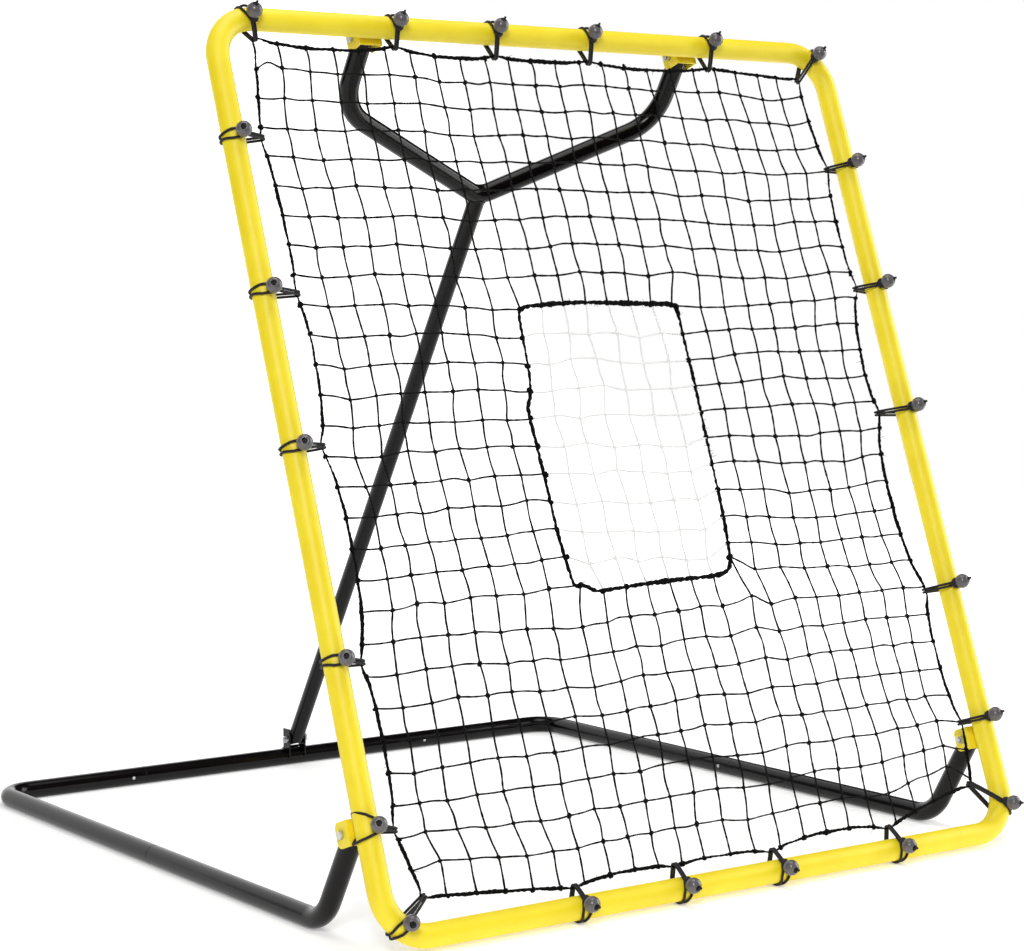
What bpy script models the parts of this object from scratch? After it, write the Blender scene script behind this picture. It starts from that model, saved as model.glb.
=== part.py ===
"""Baseball rebound net: a leaning tube frame with a bungee-hung net and a strike zone, propped by a Y-shaped
strut on a U-shaped floor base. Metres, +Z up, +X to the right of a player who faces the net, +Y to the back."""

import math

import bmesh
import bpy
from mathutils import Matrix, Vector

# The leaning front frame. Widths and heights are between the tubes' centrelines.
FRAME_WIDTH = 1.300
FRAME_HEIGHT = 1.486
FRAME_LEAN = math.radians(20.0)
FRAME_TUBE_RADIUS = 0.0190
FRAME_CORNER_RADIUS = 0.075
FRAME_CENTRE_HEIGHT = FRAME_TUBE_RADIUS + 0.0055  # of the bottom tube, with room for its bungee strands

# The floor base.
BASE_WIDTH = FRAME_WIDTH
BASE_TUBE_RADIUS = 0.0170
REAR_BAR_BEHIND = 1.395  # from the front frame's bottom tube
REAR_CORNER_RADIUS = 0.055
FRONT_BEND_RADIUS = 0.075
RISER_ANGLE = math.radians(59.0)  # of the base's front ends, above the floor
REAR_SEAM = 0.345  # from the middle of the rear bar to each of its joints
ARM_SEAM_BEHIND = 0.750
SPIGOT_RADIUS = 0.0148
SPIGOT_LENGTH = 0.055
SPIGOT_CLEARANCE = 0.0003
BUTTON_SETBACK = 0.029  # from a joint to its snap button
BUTTON_RADIUS = 0.0034
BUTTON_PROUD = 0.0022
BUTTON_SEAT = 0.0060  # depth of the button's seat in the spigot

# The Y-shaped strut.
FORK_SPREAD = 0.680
FORK_TUBE_RADIUS = 0.0170
FORK_STRAIGHT = 0.132  # from the top pivot to the fork's side bend
FORK_DEPTH = 0.298  # from the top pivot to the fork's middle bend
FORK_SIDE_RADIUS = 0.090
FORK_MIDDLE_RADIUS = 0.050
LEG_TUBE_RADIUS = 0.0155

# Pivots, from the bottom tube: up the frame and behind its plane.
SIDE_PIVOT_UP = 0.171
SIDE_PIVOT_BEHIND = FRAME_TUBE_RADIUS + 0.019
TOP_PIVOT_BELOW = 0.003  # under the top tube's centreline
TOP_PIVOT_BEHIND = FRAME_TUBE_RADIUS + 0.022
FOOT_PIVOT_ABOVE = BASE_TUBE_RADIUS + 0.021  # over the rear bar's centreline
FOOT_PIVOT_AHEAD = 0.0125

# Brackets of folded sheet.
SHEET = 0.003
BRACKET_HEIGHT = 0.040
EAR_BEYOND_PIVOT = 0.017
EAR_CORNER = 0.010
FOOT_EAR_FRONT = 0.0205
FOOT_EAR_REAR = 0.0040
FOOT_EAR_TOP = 0.059
FOOT_WEB_HALF_WIDTH = 0.008
FOOT_WEB_TILT = math.radians(30.0)
FOOT_EAR_CLEARANCE = 0.0006

# M8 fasteners.
BOLT_RADIUS = 0.0040
BOLT_HEAD_RADIUS = 0.0075
BOLT_HEAD_HEIGHT = 0.0053
NUT_HEIGHT = 0.0068
BOLT_END_BEYOND_NUT = 0.003
HOLE_CLEARANCE = 0.0005
NOSE_CLEARANCE = 0.0010  # between a tube's rounded end and what it turns past
FOOT_NOSE_RADIUS = 0.0120
SLOT_RISE = math.radians(28.0)  # the leg leaves its bolt at this angle to its own square

# The net, its ropes and its bungees.
TWINE_RADIUS = 0.0015
ROPE_RADIUS = 0.0035
ZONE_ROPE_RADIUS = 0.0050
ZONE_WIDTH = 0.339
ZONE_HEIGHT = 0.480
ZONE_CENTRE = -0.0035  # across the frame
ZONE_BOTTOM = 0.507  # above the bottom tube
ZONE_BOW = 0.020  # of the strike zone's left side
SIDE_COLUMNS, ZONE_COLUMNS = 5, 4
TOP_ROWS, ZONE_ROWS, BOTTOM_ROWS = 6, 6, 6
BOTTOM_ROW_PITCH = 0.0745
EDGE_CLEARANCES = {"top": 0.023, "bottom": 0.018, "left": 0.032, "right": 0.030}  # from the tube to the net
EDGE_INSETS = {side: FRAME_TUBE_RADIUS + clearance for side, clearance in EDGE_CLEARANCES.items()}
EDGE_SAGS = {"top": 0.05, "bottom": 0.11, "left": 0.05, "right": 0.08}  # as a share of the span
CORNER_CLEARANCES = {  # of the net's corners, from the side tube and from the top or bottom tube
    "top_left": (0.059, 0.018),
    "top_right": (0.047, 0.040),
    "bottom_left": (0.051, 0.042),
    "bottom_right": (0.044, 0.073),
}
CORNER_INSETS = {
    corner: (FRAME_TUBE_RADIUS + aside, FRAME_TUBE_RADIUS + along)
    for corner, (aside, along) in CORNER_CLEARANCES.items()
}
CORNER_TURNS = {  # where each corner's bungee sits on the tube's bend, anticlockwise from +X
    "top_left": math.radians(100.0),
    "top_right": math.radians(54.0),
    "bottom_left": math.radians(226.0),
    "bottom_right": math.radians(-27.0),
}
CORD_RADIUS = 0.0020
CORD_GAP = 0.0012  # between a bungee's two strands at its ball
CORD_SPREAD = 0.0020  # how much wider the strands lie behind the tube
CORD_SLACK = 0.0002
CORNER_SLACK = 0.0004  # more round the frame's bends
CORNER_HOOK = 0.0125  # from the net's corner to the middle of the strands' turn inside it
HOOK_RADIUS = 0.0072  # of the strands' turn round the rope and the net's edge
HOOK_INSET = 0.0036  # of that turn's middle from the rope's
BALL_RADIUS = 0.0130
BALL_SINK = 0.0030  # how far the ball closes on its own strands

GAP = 0.0003  # between pieces that touch
SIDES = 12
CORD_SIDES = 4
ROPE_SIDES = 6
ROUND = 12
BEND_STEP = math.radians(15.0)

YELLOW = (0.886, 0.745, 0.042)
BLACK = (0.012, 0.011, 0.012)
ZINC = (0.58, 0.59, 0.60)
NET_BLACK = (0.010, 0.010, 0.011)
NET_WHITE = (0.87, 0.87, 0.86)
BALL_GREY = (0.150, 0.140, 0.147)


def frame_point(up, behind):
    """(y, z) of a point on the leaning frame, from the middle of the bottom tube."""
    sine, cosine = math.sin(FRAME_LEAN), math.cos(FRAME_LEAN)
    return up * sine + behind * cosine, FRAME_CENTRE_HEIGHT + up * cosine - behind * sine


def circumscribed(radius, sides=SIDES):
    """The corner radius of a polygon whose flats lie on a circle."""
    return radius / math.cos(math.pi / sides)


TOP_PIVOT_UP = FRAME_HEIGHT - TOP_PIVOT_BELOW
SIDE_PIVOT = frame_point(SIDE_PIVOT_UP, SIDE_PIVOT_BEHIND)
TOP_PIVOT = frame_point(TOP_PIVOT_UP, TOP_PIVOT_BEHIND)
FOOT_PIVOT = (REAR_BAR_BEHIND - FOOT_PIVOT_AHEAD, BASE_TUBE_RADIUS + FOOT_PIVOT_ABOVE)
STRUT_LENGTH = math.dist(TOP_PIVOT, FOOT_PIVOT)
STRUT_SLOPE = math.atan2(FOOT_PIVOT[0] - TOP_PIVOT[0], TOP_PIVOT[1] - FOOT_PIVOT[1])
FRONT_BEND_BEHIND = SIDE_PIVOT[0] + (SIDE_PIVOT[1] - BASE_TUBE_RADIUS) / math.tan(RISER_ANGLE)

STRAND_RADIUS = circumscribed(FRAME_TUBE_RADIUS + GAP + CORD_RADIUS) + CORD_SLACK
STRAND_HALF = CORD_RADIUS + CORD_GAP / 2
HALF_STEP = math.pi / SIDES
BALL_ON_STRANDS = (
    STRAND_RADIUS * math.cos(HALF_STEP)
    + math.sqrt((BALL_RADIUS + CORD_RADIUS) ** 2 - (STRAND_RADIUS * math.sin(HALF_STEP)) ** 2)
    - BALL_SINK
)
BALL_AHEAD = max(BALL_ON_STRANDS, FRAME_TUBE_RADIUS + GAP + BALL_RADIUS)
FOREMOST = BALL_AHEAD * math.cos(FRAME_LEAN) + BALL_RADIUS
REARMOST = REAR_BAR_BEHIND + BASE_TUBE_RADIUS
MIDDLE = (REARMOST - FOREMOST) / 2
BRACKET_HALF_WIDTH = max(FRAME_TUBE_RADIUS, BASE_TUBE_RADIUS, FORK_TUBE_RADIUS) + GAP + SHEET
HOLE_RADIUS = BOLT_RADIUS + HOLE_CLEARANCE


def clear_scene():
    for obj in list(bpy.data.objects):
        bpy.data.objects.remove(obj)


def collection(name):
    made = bpy.data.collections.new(name)
    bpy.context.scene.collection.children.link(made)
    return made


def material(name, colour, roughness, metallic=0.0):
    made = bpy.data.materials.new(name)
    made.use_nodes = True
    shader = made.node_tree.nodes["Principled BSDF"]
    shader.inputs["Base Color"].default_value = (*colour, 1.0)
    shader.inputs["Roughness"].default_value = roughness
    shader.inputs["Metallic"].default_value = metallic
    return made


def pivot(name, parent, location, turn=0.0):
    """An empty that its pieces turn about, with its X axis along the pivot."""
    empty = bpy.data.objects.new(name, None)
    PARTS.objects.link(empty)
    empty.parent = parent
    empty.location = location
    empty.rotation_euler = (turn, 0.0, 0.0)
    return empty


def place(obj, name, parent, finish, origin=(0.0, 0.0, 0.0)):
    """Names a finished piece, gives it its material and hangs it on its empty."""
    obj.name = obj.data.name = name
    for user in list(obj.users_collection):
        user.objects.unlink(obj)
    PARTS.objects.link(obj)
    obj.parent = parent
    obj.location = [-value for value in origin]
    obj.data.materials.clear()
    obj.data.materials.append(finish)
    return obj


def mesh_object(name, bm):
    mesh = bpy.data.meshes.new(name)
    bm.to_mesh(mesh)
    bm.free()
    obj = bpy.data.objects.new(name, mesh)
    bpy.context.scene.collection.objects.link(obj)
    return obj


def as_mesh(obj):
    """The object's evaluated mesh as a new object, with its doubles merged and its round faces smooth."""
    graph = bpy.context.evaluated_depsgraph_get()
    mesh = bpy.data.meshes.new_from_object(obj.evaluated_get(graph))
    bm = bmesh.new()
    bm.from_mesh(mesh)
    bmesh.ops.transform(bm, matrix=obj.matrix_world, verts=bm.verts)
    bmesh.ops.remove_doubles(bm, verts=bm.verts, dist=1e-6)
    bmesh.ops.recalc_face_normals(bm, faces=bm.faces)
    bpy.data.meshes.remove(mesh)
    name = obj.name
    bpy.data.objects.remove(obj)
    made = mesh_object(name, bm)
    made.data.shade_smooth()
    made.data.set_sharp_from_angle(angle=math.radians(32.0))
    return made


def combine(target, tool, operation):
    """The target with the tool cut from it or joined to it, as one mesh."""
    modifier = target.modifiers.new(operation.lower(), "BOOLEAN")
    modifier.operation = operation
    modifier.object = tool
    made = as_mesh(target)
    bpy.data.objects.remove(tool)
    return made


def rounded(corners, radii, closed=False):
    """The corners of a route, each replaced by an arc of its radius."""
    points = []
    count = len(corners)
    for index, corner in enumerate(corners):
        if not closed and index in (0, count - 1):
            points.append(corner)
            continue
        back = (corners[index - 1] - corner).normalized()
        ahead = (corners[(index + 1) % count] - corner).normalized()
        turn = math.pi - back.angle(ahead)
        radius = radii[index]
        centre = corner + (back + ahead).normalized() * radius / math.cos(turn / 2)
        first = corner + back * radius * math.tan(turn / 2) - centre
        axis = first.cross(corner + ahead * radius * math.tan(turn / 2) - centre).normalized()
        steps = max(2, math.ceil(turn / BEND_STEP - 1e-6))
        for step in range(steps + 1):
            points.append(centre + Matrix.Rotation(turn * step / steps, 3, axis) @ first)
    return points


def tube(points, radius, sides=SIDES, closed=False):
    """A round bar along the points: a polygon whose flats lie on the true circle."""
    curve = bpy.data.curves.new("tube", "CURVE")
    curve.dimensions = "3D"
    curve.bevel_depth = circumscribed(radius, sides)
    curve.bevel_resolution = (sides - 4) // 2
    curve.use_fill_caps = True
    spline = curve.splines.new("POLY")
    spline.points.add(len(points) - 1)
    spline.use_cyclic_u = closed
    for target, point in zip(spline.points, points):
        target.co = (*point, 1.0)
        target.tilt = math.pi / sides
    obj = bpy.data.objects.new("tube", curve)
    bpy.context.scene.collection.objects.link(obj)
    bpy.context.view_layer.update()
    return as_mesh(obj)


def cylinder(start, end, radius, sides=ROUND):
    """A round bar between two points, with its corners on the circle."""
    start, end = Vector(start), Vector(end)
    bm = bmesh.new()
    bmesh.ops.create_cone(
        bm, cap_ends=True, segments=sides, radius1=radius, radius2=radius, depth=(end - start).length
    )
    turn = (end - start).to_track_quat("Z", "Y").to_matrix().to_4x4()
    bmesh.ops.transform(bm, matrix=Matrix.Translation((start + end) / 2) @ turn, verts=bm.verts)
    return mesh_object("cylinder", bm)


def box(low, high):
    low, high = Vector(low), Vector(high)
    bm = bmesh.new()
    bmesh.ops.create_cube(bm, size=1.0)
    size = Matrix.Diagonal((*(high - low), 1.0))
    bmesh.ops.transform(bm, matrix=Matrix.Translation((low + high) / 2) @ size, verts=bm.verts)
    return mesh_object("box", bm)


def arc(centre, radius, start, end, steps):
    """Points of an arc in a plane, both ends included."""
    turns = [start + (end - start) * step / steps for step in range(steps + 1)]
    return [(centre[0] + radius * math.cos(turn), centre[1] + radius * math.sin(turn)) for turn in turns]


def plate(outlines, thickness, across):
    """A flat sheet across X: each outline is a list of (y, z), and the ones inside the first are its holes."""
    curve = bpy.data.curves.new("plate", "CURVE")
    curve.dimensions = "2D"
    curve.fill_mode = "BOTH"
    curve.extrude = thickness / 2
    for outline in outlines:
        spline = curve.splines.new("POLY")
        spline.points.add(len(outline) - 1)
        spline.use_cyclic_u = True
        for target, point in zip(spline.points, outline):
            target.co = (*point, 0.0, 1.0)
    obj = bpy.data.objects.new("plate", curve)
    bpy.context.scene.collection.objects.link(obj)
    # The outline's own X and Y become the sheet's Y and Z.
    stand = Matrix(((0, 0, 1, across), (1, 0, 0, 0), (0, 1, 0, 0), (0, 0, 0, 1)))
    obj.matrix_world = stand
    bpy.context.view_layer.update()
    return as_mesh(obj)


def end_cutter(radius, tube_radius, across):
    """What is cut from a tube that ends at the origin, pointing along +Z, to give it a rounded nose across X."""
    wide, far = tube_radius * 1.5, tube_radius * 2
    outline = [(wide, 0.0), *arc((0.0, 0.0), radius, 0.0, math.pi, 8), (-wide, 0.0), (-wide, far), (wide, far)]
    return plate([outline], 4 * tube_radius, across)


def turn_about_x(obj, angle, point):
    """Turns a mesh about X and then moves it to (y, z)."""
    move = Matrix.Translation((0.0, *point)) @ Matrix.Rotation(angle, 4, "X")
    obj.data.transform(move)
    return obj


def turned(profile, sides=ROUND):
    """A solid turned about Z, from (radius, height) points that run down its outer side from top to bottom."""
    curve = bpy.data.meshes.new("profile")
    curve.from_pydata([(radius, 0.0, height) for radius, height in profile],
                      [(step, step + 1) for step in range(len(profile) - 1)], [])
    obj = bpy.data.objects.new("turned", curve)
    bpy.context.scene.collection.objects.link(obj)
    screw = obj.modifiers.new("turn", "SCREW")
    screw.steps = screw.render_steps = sides
    screw.use_merge_vertices = True
    screw.merge_threshold = 1e-5
    return as_mesh(obj)


# Fasteners


def hexagon(start, end):
    return cylinder(start, end, BOLT_HEAD_RADIUS, 6)


def bolt(name, parent, origin, at, grip):
    """A hexagon-head bolt through a bracket centred on x = at[0]: its head is on the outer side."""
    middle, y, z = at
    outward = -1.0 if middle < 0.0 else 1.0
    head = middle + outward * (grip / 2 + GAP)
    tip = middle - outward * (grip / 2 + GAP + NUT_HEIGHT + BOLT_END_BEYOND_NUT)
    shank = cylinder((head + outward * BOLT_HEAD_HEIGHT / 2, y, z), (tip, y, z), BOLT_RADIUS)
    made = combine(shank, hexagon((head, y, z), (head + outward * BOLT_HEAD_HEIGHT, y, z)), "UNION")
    place(made, f"{name}_bolt", parent, STEEL, origin)
    inner = middle - outward * (grip / 2 + GAP)
    nut = hexagon((inner, y, z), (inner - outward * NUT_HEIGHT, y, z))
    reach = outward * NUT_HEIGHT * 2
    bore = cylinder((inner + reach, y, z), (inner - reach, y, z), HOLE_RADIUS)
    place(combine(nut, bore, "DIFFERENCE"), f"{name}_nut", parent, STEEL, origin)


# Front frame and its brackets


def front_frame():
    half = FRAME_WIDTH / 2
    corners = [
        Vector((-half, 0.0, 0.0)),
        Vector((half, 0.0, 0.0)),
        Vector((half, 0.0, FRAME_HEIGHT)),
        Vector((-half, 0.0, FRAME_HEIGHT)),
    ]
    loop = rounded(corners, [FRAME_CORNER_RADIUS] * 4, closed=True)
    place(tube(loop, FRAME_TUBE_RADIUS, closed=True), "front_frame", FRAME_PIVOT, YELLOW_PAINT, PIVOT_PLACE)


def channel(name, middle, up, pivot_behind):
    """A U-shaped bracket behind a tube: its web lies on the tube, and its ears hold a pivot bolt."""
    front = FRAME_TUBE_RADIUS + GAP
    rear = pivot_behind + EAR_BEYOND_PIVOT
    low, high = up - BRACKET_HEIGHT / 2, up + BRACKET_HEIGHT / 2
    outline = [(front, high), (front, low)]
    outline += arc((rear - EAR_CORNER, low + EAR_CORNER), EAR_CORNER, -math.pi / 2, 0.0, 4)
    outline += arc((rear - EAR_CORNER, high - EAR_CORNER), EAR_CORNER, 0.0, math.pi / 2, 4)
    hole = arc((pivot_behind, up), HOLE_RADIUS, 0.0, math.tau * (1 - 1 / ROUND), ROUND - 1)
    offset = BRACKET_HALF_WIDTH - SHEET / 2
    bracket = box(
        (middle - BRACKET_HALF_WIDTH + SHEET / 2, front, low),
        (middle + BRACKET_HALF_WIDTH - SHEET / 2, front + SHEET, high),
    )
    for side in (-1, 1):
        bracket = combine(bracket, plate([outline, hole], SHEET, middle + side * offset), "UNION")
    place(bracket, f"{name}_bracket", FRAME_PIVOT, YELLOW_PAINT, PIVOT_PLACE)
    bolt(f"{name}_pivot", FRAME_PIVOT, PIVOT_PLACE, (middle, pivot_behind, up), 2 * BRACKET_HALF_WIDTH)


def brackets():
    for side, sign in (("left", -1), ("right", 1)):
        channel(f"{side}_side", sign * FRAME_WIDTH / 2, SIDE_PIVOT_UP, SIDE_PIVOT_BEHIND)
        channel(f"{side}_top", sign * FORK_SPREAD / 2, TOP_PIVOT_UP, TOP_PIVOT_BEHIND)


# Floor base


def spigot(section, seam, along):
    """Adds the thinner end that plugs into the next section, past the seam."""
    end = seam + along * SPIGOT_LENGTH
    section = combine(section, tube([seam - along * SPIGOT_LENGTH, end], SPIGOT_RADIUS), "UNION")
    return button_hole(section, seam + along * BUTTON_SETBACK, SPIGOT_RADIUS - BUTTON_SEAT)


def socket(section, seam, along):
    """Bores the end that takes a spigot, and drills it for the snap button."""
    start = seam - along * SPIGOT_LENGTH
    bore = tube([start, seam + along * (SPIGOT_LENGTH + GAP)], SPIGOT_RADIUS + SPIGOT_CLEARANCE)
    section = combine(section, bore, "DIFFERENCE")
    return button_hole(section, seam + along * (BUTTON_SETBACK - GAP), 0.0)


def button_side(at):
    """The inward direction that a snap button faces at a place on the base."""
    if abs(at.x) < REAR_SEAM + BUTTON_SETBACK * 2:
        return Vector((0.0, -1.0, 0.0))
    return Vector((-math.copysign(1.0, at.x), 0.0, 0.0))


def button_hole(section, at, depth):
    side = button_side(at)
    drill = cylinder(at + side * depth, at + side * BASE_TUBE_RADIUS * 2, BUTTON_RADIUS + GAP)
    return combine(section, drill, "DIFFERENCE")


def snap_button(name, at):
    side = button_side(at)
    seat = SPIGOT_RADIUS - BUTTON_SEAT + GAP
    top = BASE_TUBE_RADIUS + BUTTON_PROUD
    shoulder = top - BUTTON_RADIUS / 2
    profile = [(0.0, top), (BUTTON_RADIUS * 0.6, top - BUTTON_RADIUS / 6), (BUTTON_RADIUS, shoulder),
               (BUTTON_RADIUS, seat), (0.0, seat)]
    made = turned(profile)
    made.data.transform(Matrix.Translation(at) @ side.to_track_quat("Z", "Y").to_matrix().to_4x4())
    place(made, name, BASE, STEEL)


def floor_base():
    half, low = BASE_WIDTH / 2, BASE_TUBE_RADIUS
    back, left, right = Vector((0, 1, 0)), Vector((-1, 0, 0)), Vector((1, 0, 0))
    for side, sign in (("left", -1), ("right", 1)):
        x = sign * half
        seam = Vector((x, ARM_SEAM_BEHIND, low))
        bend = Vector((x, FRONT_BEND_BEHIND, low))
        riser = Vector((0.0, -math.cos(RISER_ANGLE), math.sin(RISER_ANGLE)))
        top = Vector((x, *SIDE_PIVOT))
        nose = SIDE_PIVOT_BEHIND - FRAME_TUBE_RADIUS - GAP - SHEET - NOSE_CLEARANCE
        route = rounded([top + riser * BASE_TUBE_RADIUS, bend, seam], [0.0, FRONT_BEND_RADIUS, 0.0])
        leg = tube(route, BASE_TUBE_RADIUS)
        cutter = end_cutter(nose, BASE_TUBE_RADIUS, x)
        leg = combine(leg, turn_about_x(cutter, math.pi / 2 - RISER_ANGLE, SIDE_PIVOT), "DIFFERENCE")
        hole = cylinder(top - right * BASE_TUBE_RADIUS * 2, top + right * BASE_TUBE_RADIUS * 2, HOLE_RADIUS)
        leg = combine(leg, hole, "DIFFERENCE")
        place(spigot(leg, seam, back), f"base_{side}_arm", BASE, BLACK_PAINT)

        start = seam + back * GAP
        corner = Vector((x, REAR_BAR_BEHIND, low))
        rear = Vector((sign * (REAR_SEAM + (GAP if sign < 0 else 0.0)), REAR_BAR_BEHIND, low))
        elbow = tube(rounded([start, corner, rear], [0.0, REAR_CORNER_RADIUS, 0.0]), BASE_TUBE_RADIUS)
        elbow = socket(elbow, start, back)
        if sign < 0:
            elbow = socket(elbow, rear, left)
            button = rear + left * (BUTTON_SETBACK - GAP)
        else:
            elbow = spigot(elbow, rear, left)
            button = rear + left * BUTTON_SETBACK
        place(elbow, f"base_{side}_elbow", BASE, BLACK_PAINT)
        snap_button(f"{side}_arm_snap_button", seam + back * BUTTON_SETBACK)
        snap_button(f"{side}_rear_snap_button", button)

    left_seam = Vector((-REAR_SEAM, REAR_BAR_BEHIND, low))
    right_seam = Vector((REAR_SEAM - GAP, REAR_BAR_BEHIND, low))
    bar = spigot(tube([left_seam, right_seam], BASE_TUBE_RADIUS), left_seam, left)
    place(socket(bar, right_seam, left), "base_rear_bar", BASE, BLACK_PAINT)


def foot_bracket():
    """Two ears on the rear bar, joined by a web over the bar's upper back. Their slots open to the rear."""
    low, high = 0.0, FOOT_EAR_TOP
    inner = circumscribed(LEG_TUBE_RADIUS) + FOOT_EAR_CLEARANCE
    slot = HOLE_RADIUS
    pin_y, pin_z = -FOOT_PIVOT_AHEAD, FOOT_PIVOT_ABOVE
    outline = [(FOOT_EAR_REAR, high), (-FOOT_EAR_FRONT, high), (-FOOT_EAR_FRONT, low), (FOOT_EAR_REAR, low)]
    outline += [(FOOT_EAR_REAR, pin_z - slot)]
    outline += arc((pin_y, pin_z), slot, -math.pi / 2, -math.pi * 3 / 2, 6)
    outline += [(FOOT_EAR_REAR, pin_z + slot)]
    web = box(
        (-inner - SHEET / 2, -FOOT_WEB_HALF_WIDTH, BASE_TUBE_RADIUS + GAP),
        (inner + SHEET / 2, FOOT_WEB_HALF_WIDTH, BASE_TUBE_RADIUS + GAP + SHEET),
    )
    bracket = turn_about_x(web, -FOOT_WEB_TILT, (0.0, 0.0))
    for side in (-1, 1):
        bracket = combine(bracket, plate([outline], SHEET, side * (inner + SHEET / 2)), "UNION")
    bar = tube([Vector((-inner * 3, 0, 0)), Vector((inner * 3, 0, 0))], BASE_TUBE_RADIUS + GAP)
    bracket = combine(bracket, bar, "DIFFERENCE")
    rear_bar = (0.0, -REAR_BAR_BEHIND, -BASE_TUBE_RADIUS)
    place(bracket, "foot_bracket", BASE, BLACK_PAINT, rear_bar)
    bolt("foot", BASE, rear_bar, (0.0, pin_y, pin_z), 2 * (inner + SHEET))


# Strut, in its own frame: +Z up the strut from the top pivots


def fork_route():
    half = FORK_SPREAD / 2
    corners = [
        Vector((-half, 0.0, FORK_TUBE_RADIUS * 1.2)),
        Vector((-half, 0.0, -FORK_STRAIGHT)),
        Vector((0.0, 0.0, -FORK_DEPTH)),
        Vector((half, 0.0, -FORK_STRAIGHT)),
        Vector((half, 0.0, FORK_TUBE_RADIUS * 1.2)),
    ]
    return rounded(corners, [0.0, FORK_SIDE_RADIUS, FORK_MIDDLE_RADIUS, FORK_SIDE_RADIUS, 0.0])


def strut():
    fork = tube(fork_route(), FORK_TUBE_RADIUS)
    nose = TOP_PIVOT_BEHIND - FRAME_TUBE_RADIUS - GAP - SHEET - NOSE_CLEARANCE
    nose = min(nose, FORK_TUBE_RADIUS - NOSE_CLEARANCE)
    for sign in (-1, 1):
        x = sign * FORK_SPREAD / 2
        fork = combine(fork, end_cutter(nose, FORK_TUBE_RADIUS, x), "DIFFERENCE")
        reach = FORK_TUBE_RADIUS * 2
        fork = combine(fork, cylinder((x - reach, 0, 0), (x + reach, 0, 0), HOLE_RADIUS), "DIFFERENCE")
    place(fork, "strut_fork", STRUT_PIVOT, BLACK_PAINT)

    top = Vector((0.0, 0.0, -FORK_DEPTH))
    end = Vector((0.0, 0.0, -STRUT_LENGTH - LEG_TUBE_RADIUS))
    leg = combine(tube([end, top], LEG_TUBE_RADIUS), tube(fork_route(), FORK_TUBE_RADIUS + GAP), "DIFFERENCE")
    foot = (0.0, -STRUT_LENGTH)
    nose_cutter = turn_about_x(end_cutter(FOOT_NOSE_RADIUS, LEG_TUBE_RADIUS, 0.0), math.pi, foot)
    leg = combine(leg, nose_cutter, "DIFFERENCE")
    slot = HOLE_RADIUS
    far = LEG_TUBE_RADIUS * 2
    outline = [(far, -slot), (far, slot), *arc((0.0, 0.0), slot, math.pi / 2, math.pi * 3 / 2, 6)]
    cutter = turn_about_x(plate([outline], LEG_TUBE_RADIUS * 4, 0.0), SLOT_RISE, foot)
    place(combine(leg, cutter, "DIFFERENCE"), "strut_leg", STRUT_PIVOT, BLACK_PAINT)


# Net and ropes. A place on the net is (across, up) in the frame's own plane.


def anchors():
    """Where the bungees stand along each side, its corners left out: shares of a net cell, or beside a bracket."""
    columns, rows = column_lines(), row_lines()
    beside = BRACKET_HALF_WIDTH + CORD_RADIUS * 3 + STRAND_HALF
    inner = FORK_SPREAD / 2 - beside
    above = SIDE_PIVOT_UP + BRACKET_HEIGHT / 2 + CORD_RADIUS * 2 + STRAND_HALF + CORD_SPREAD
    return {
        "top": [-inner, between(columns, 5.79), between(columns, 8.17), FORK_SPREAD / 2 + beside],
        "bottom": [between(columns, share) for share in (3.51, 5.88, 8.32, 11.40)],
        "left": [between(rows, share) for share in (2.18, 5.60, 8.80, 13.10)] + [SIDE_PIVOT_UP],
        "right": [between(rows, share) for share in (2.44, 5.60, 8.60, 12.82)] + [above],
    }


def between(lines, share):
    whole = int(share)
    return lines[whole] + (lines[whole + 1] - lines[whole]) * (share - whole)


def column_lines():
    """Where the net's vertical lines cross the strike zone's height, from left to right."""
    left, right = ZONE_CENTRE - ZONE_WIDTH / 2, ZONE_CENTRE + ZONE_WIDTH / 2
    first = -FRAME_WIDTH / 2 + EDGE_INSETS["left"]
    last = FRAME_WIDTH / 2 - EDGE_INSETS["right"]
    lines = [first + (left - first) * step / SIDE_COLUMNS for step in range(SIDE_COLUMNS)]
    lines += [left + ZONE_WIDTH * step / ZONE_COLUMNS for step in range(ZONE_COLUMNS)]
    return lines + [right + (last - right) * step / SIDE_COLUMNS for step in range(SIDE_COLUMNS + 1)]


def row_lines():
    """How high the net's cross lines run, from top to bottom."""
    first, last = FRAME_HEIGHT - EDGE_INSETS["top"], EDGE_INSETS["bottom"]
    top = ZONE_BOTTOM + ZONE_HEIGHT
    lines = [first + (top - first) * step / TOP_ROWS for step in range(TOP_ROWS)]
    lines += [top - ZONE_HEIGHT * step / ZONE_ROWS for step in range(ZONE_ROWS)]
    return lines + [ZONE_BOTTOM - BOTTOM_ROW_PITCH * step for step in range(BOTTOM_ROWS)] + [last]


def sagged(side, position, low, high):
    """How far the net's edge stands in from the tube: it sags between neighbouring bungees."""
    stops = sorted([low, *anchors()[side], high])
    for start, end in zip(stops, stops[1:]):
        if start <= position <= end:
            share = (position - start) / (end - start)
            return EDGE_INSETS[side] + EDGE_SAGS[side] * (end - start) * 4 * share * (1 - share)
    return EDGE_INSETS[side]


def corner_point(corner):
    aside, along = CORNER_INSETS[corner]
    up = FRAME_HEIGHT - along if corner.startswith("top") else along
    across = FRAME_WIDTH / 2 - aside
    return (-across if corner.endswith("left") else across), up


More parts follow.
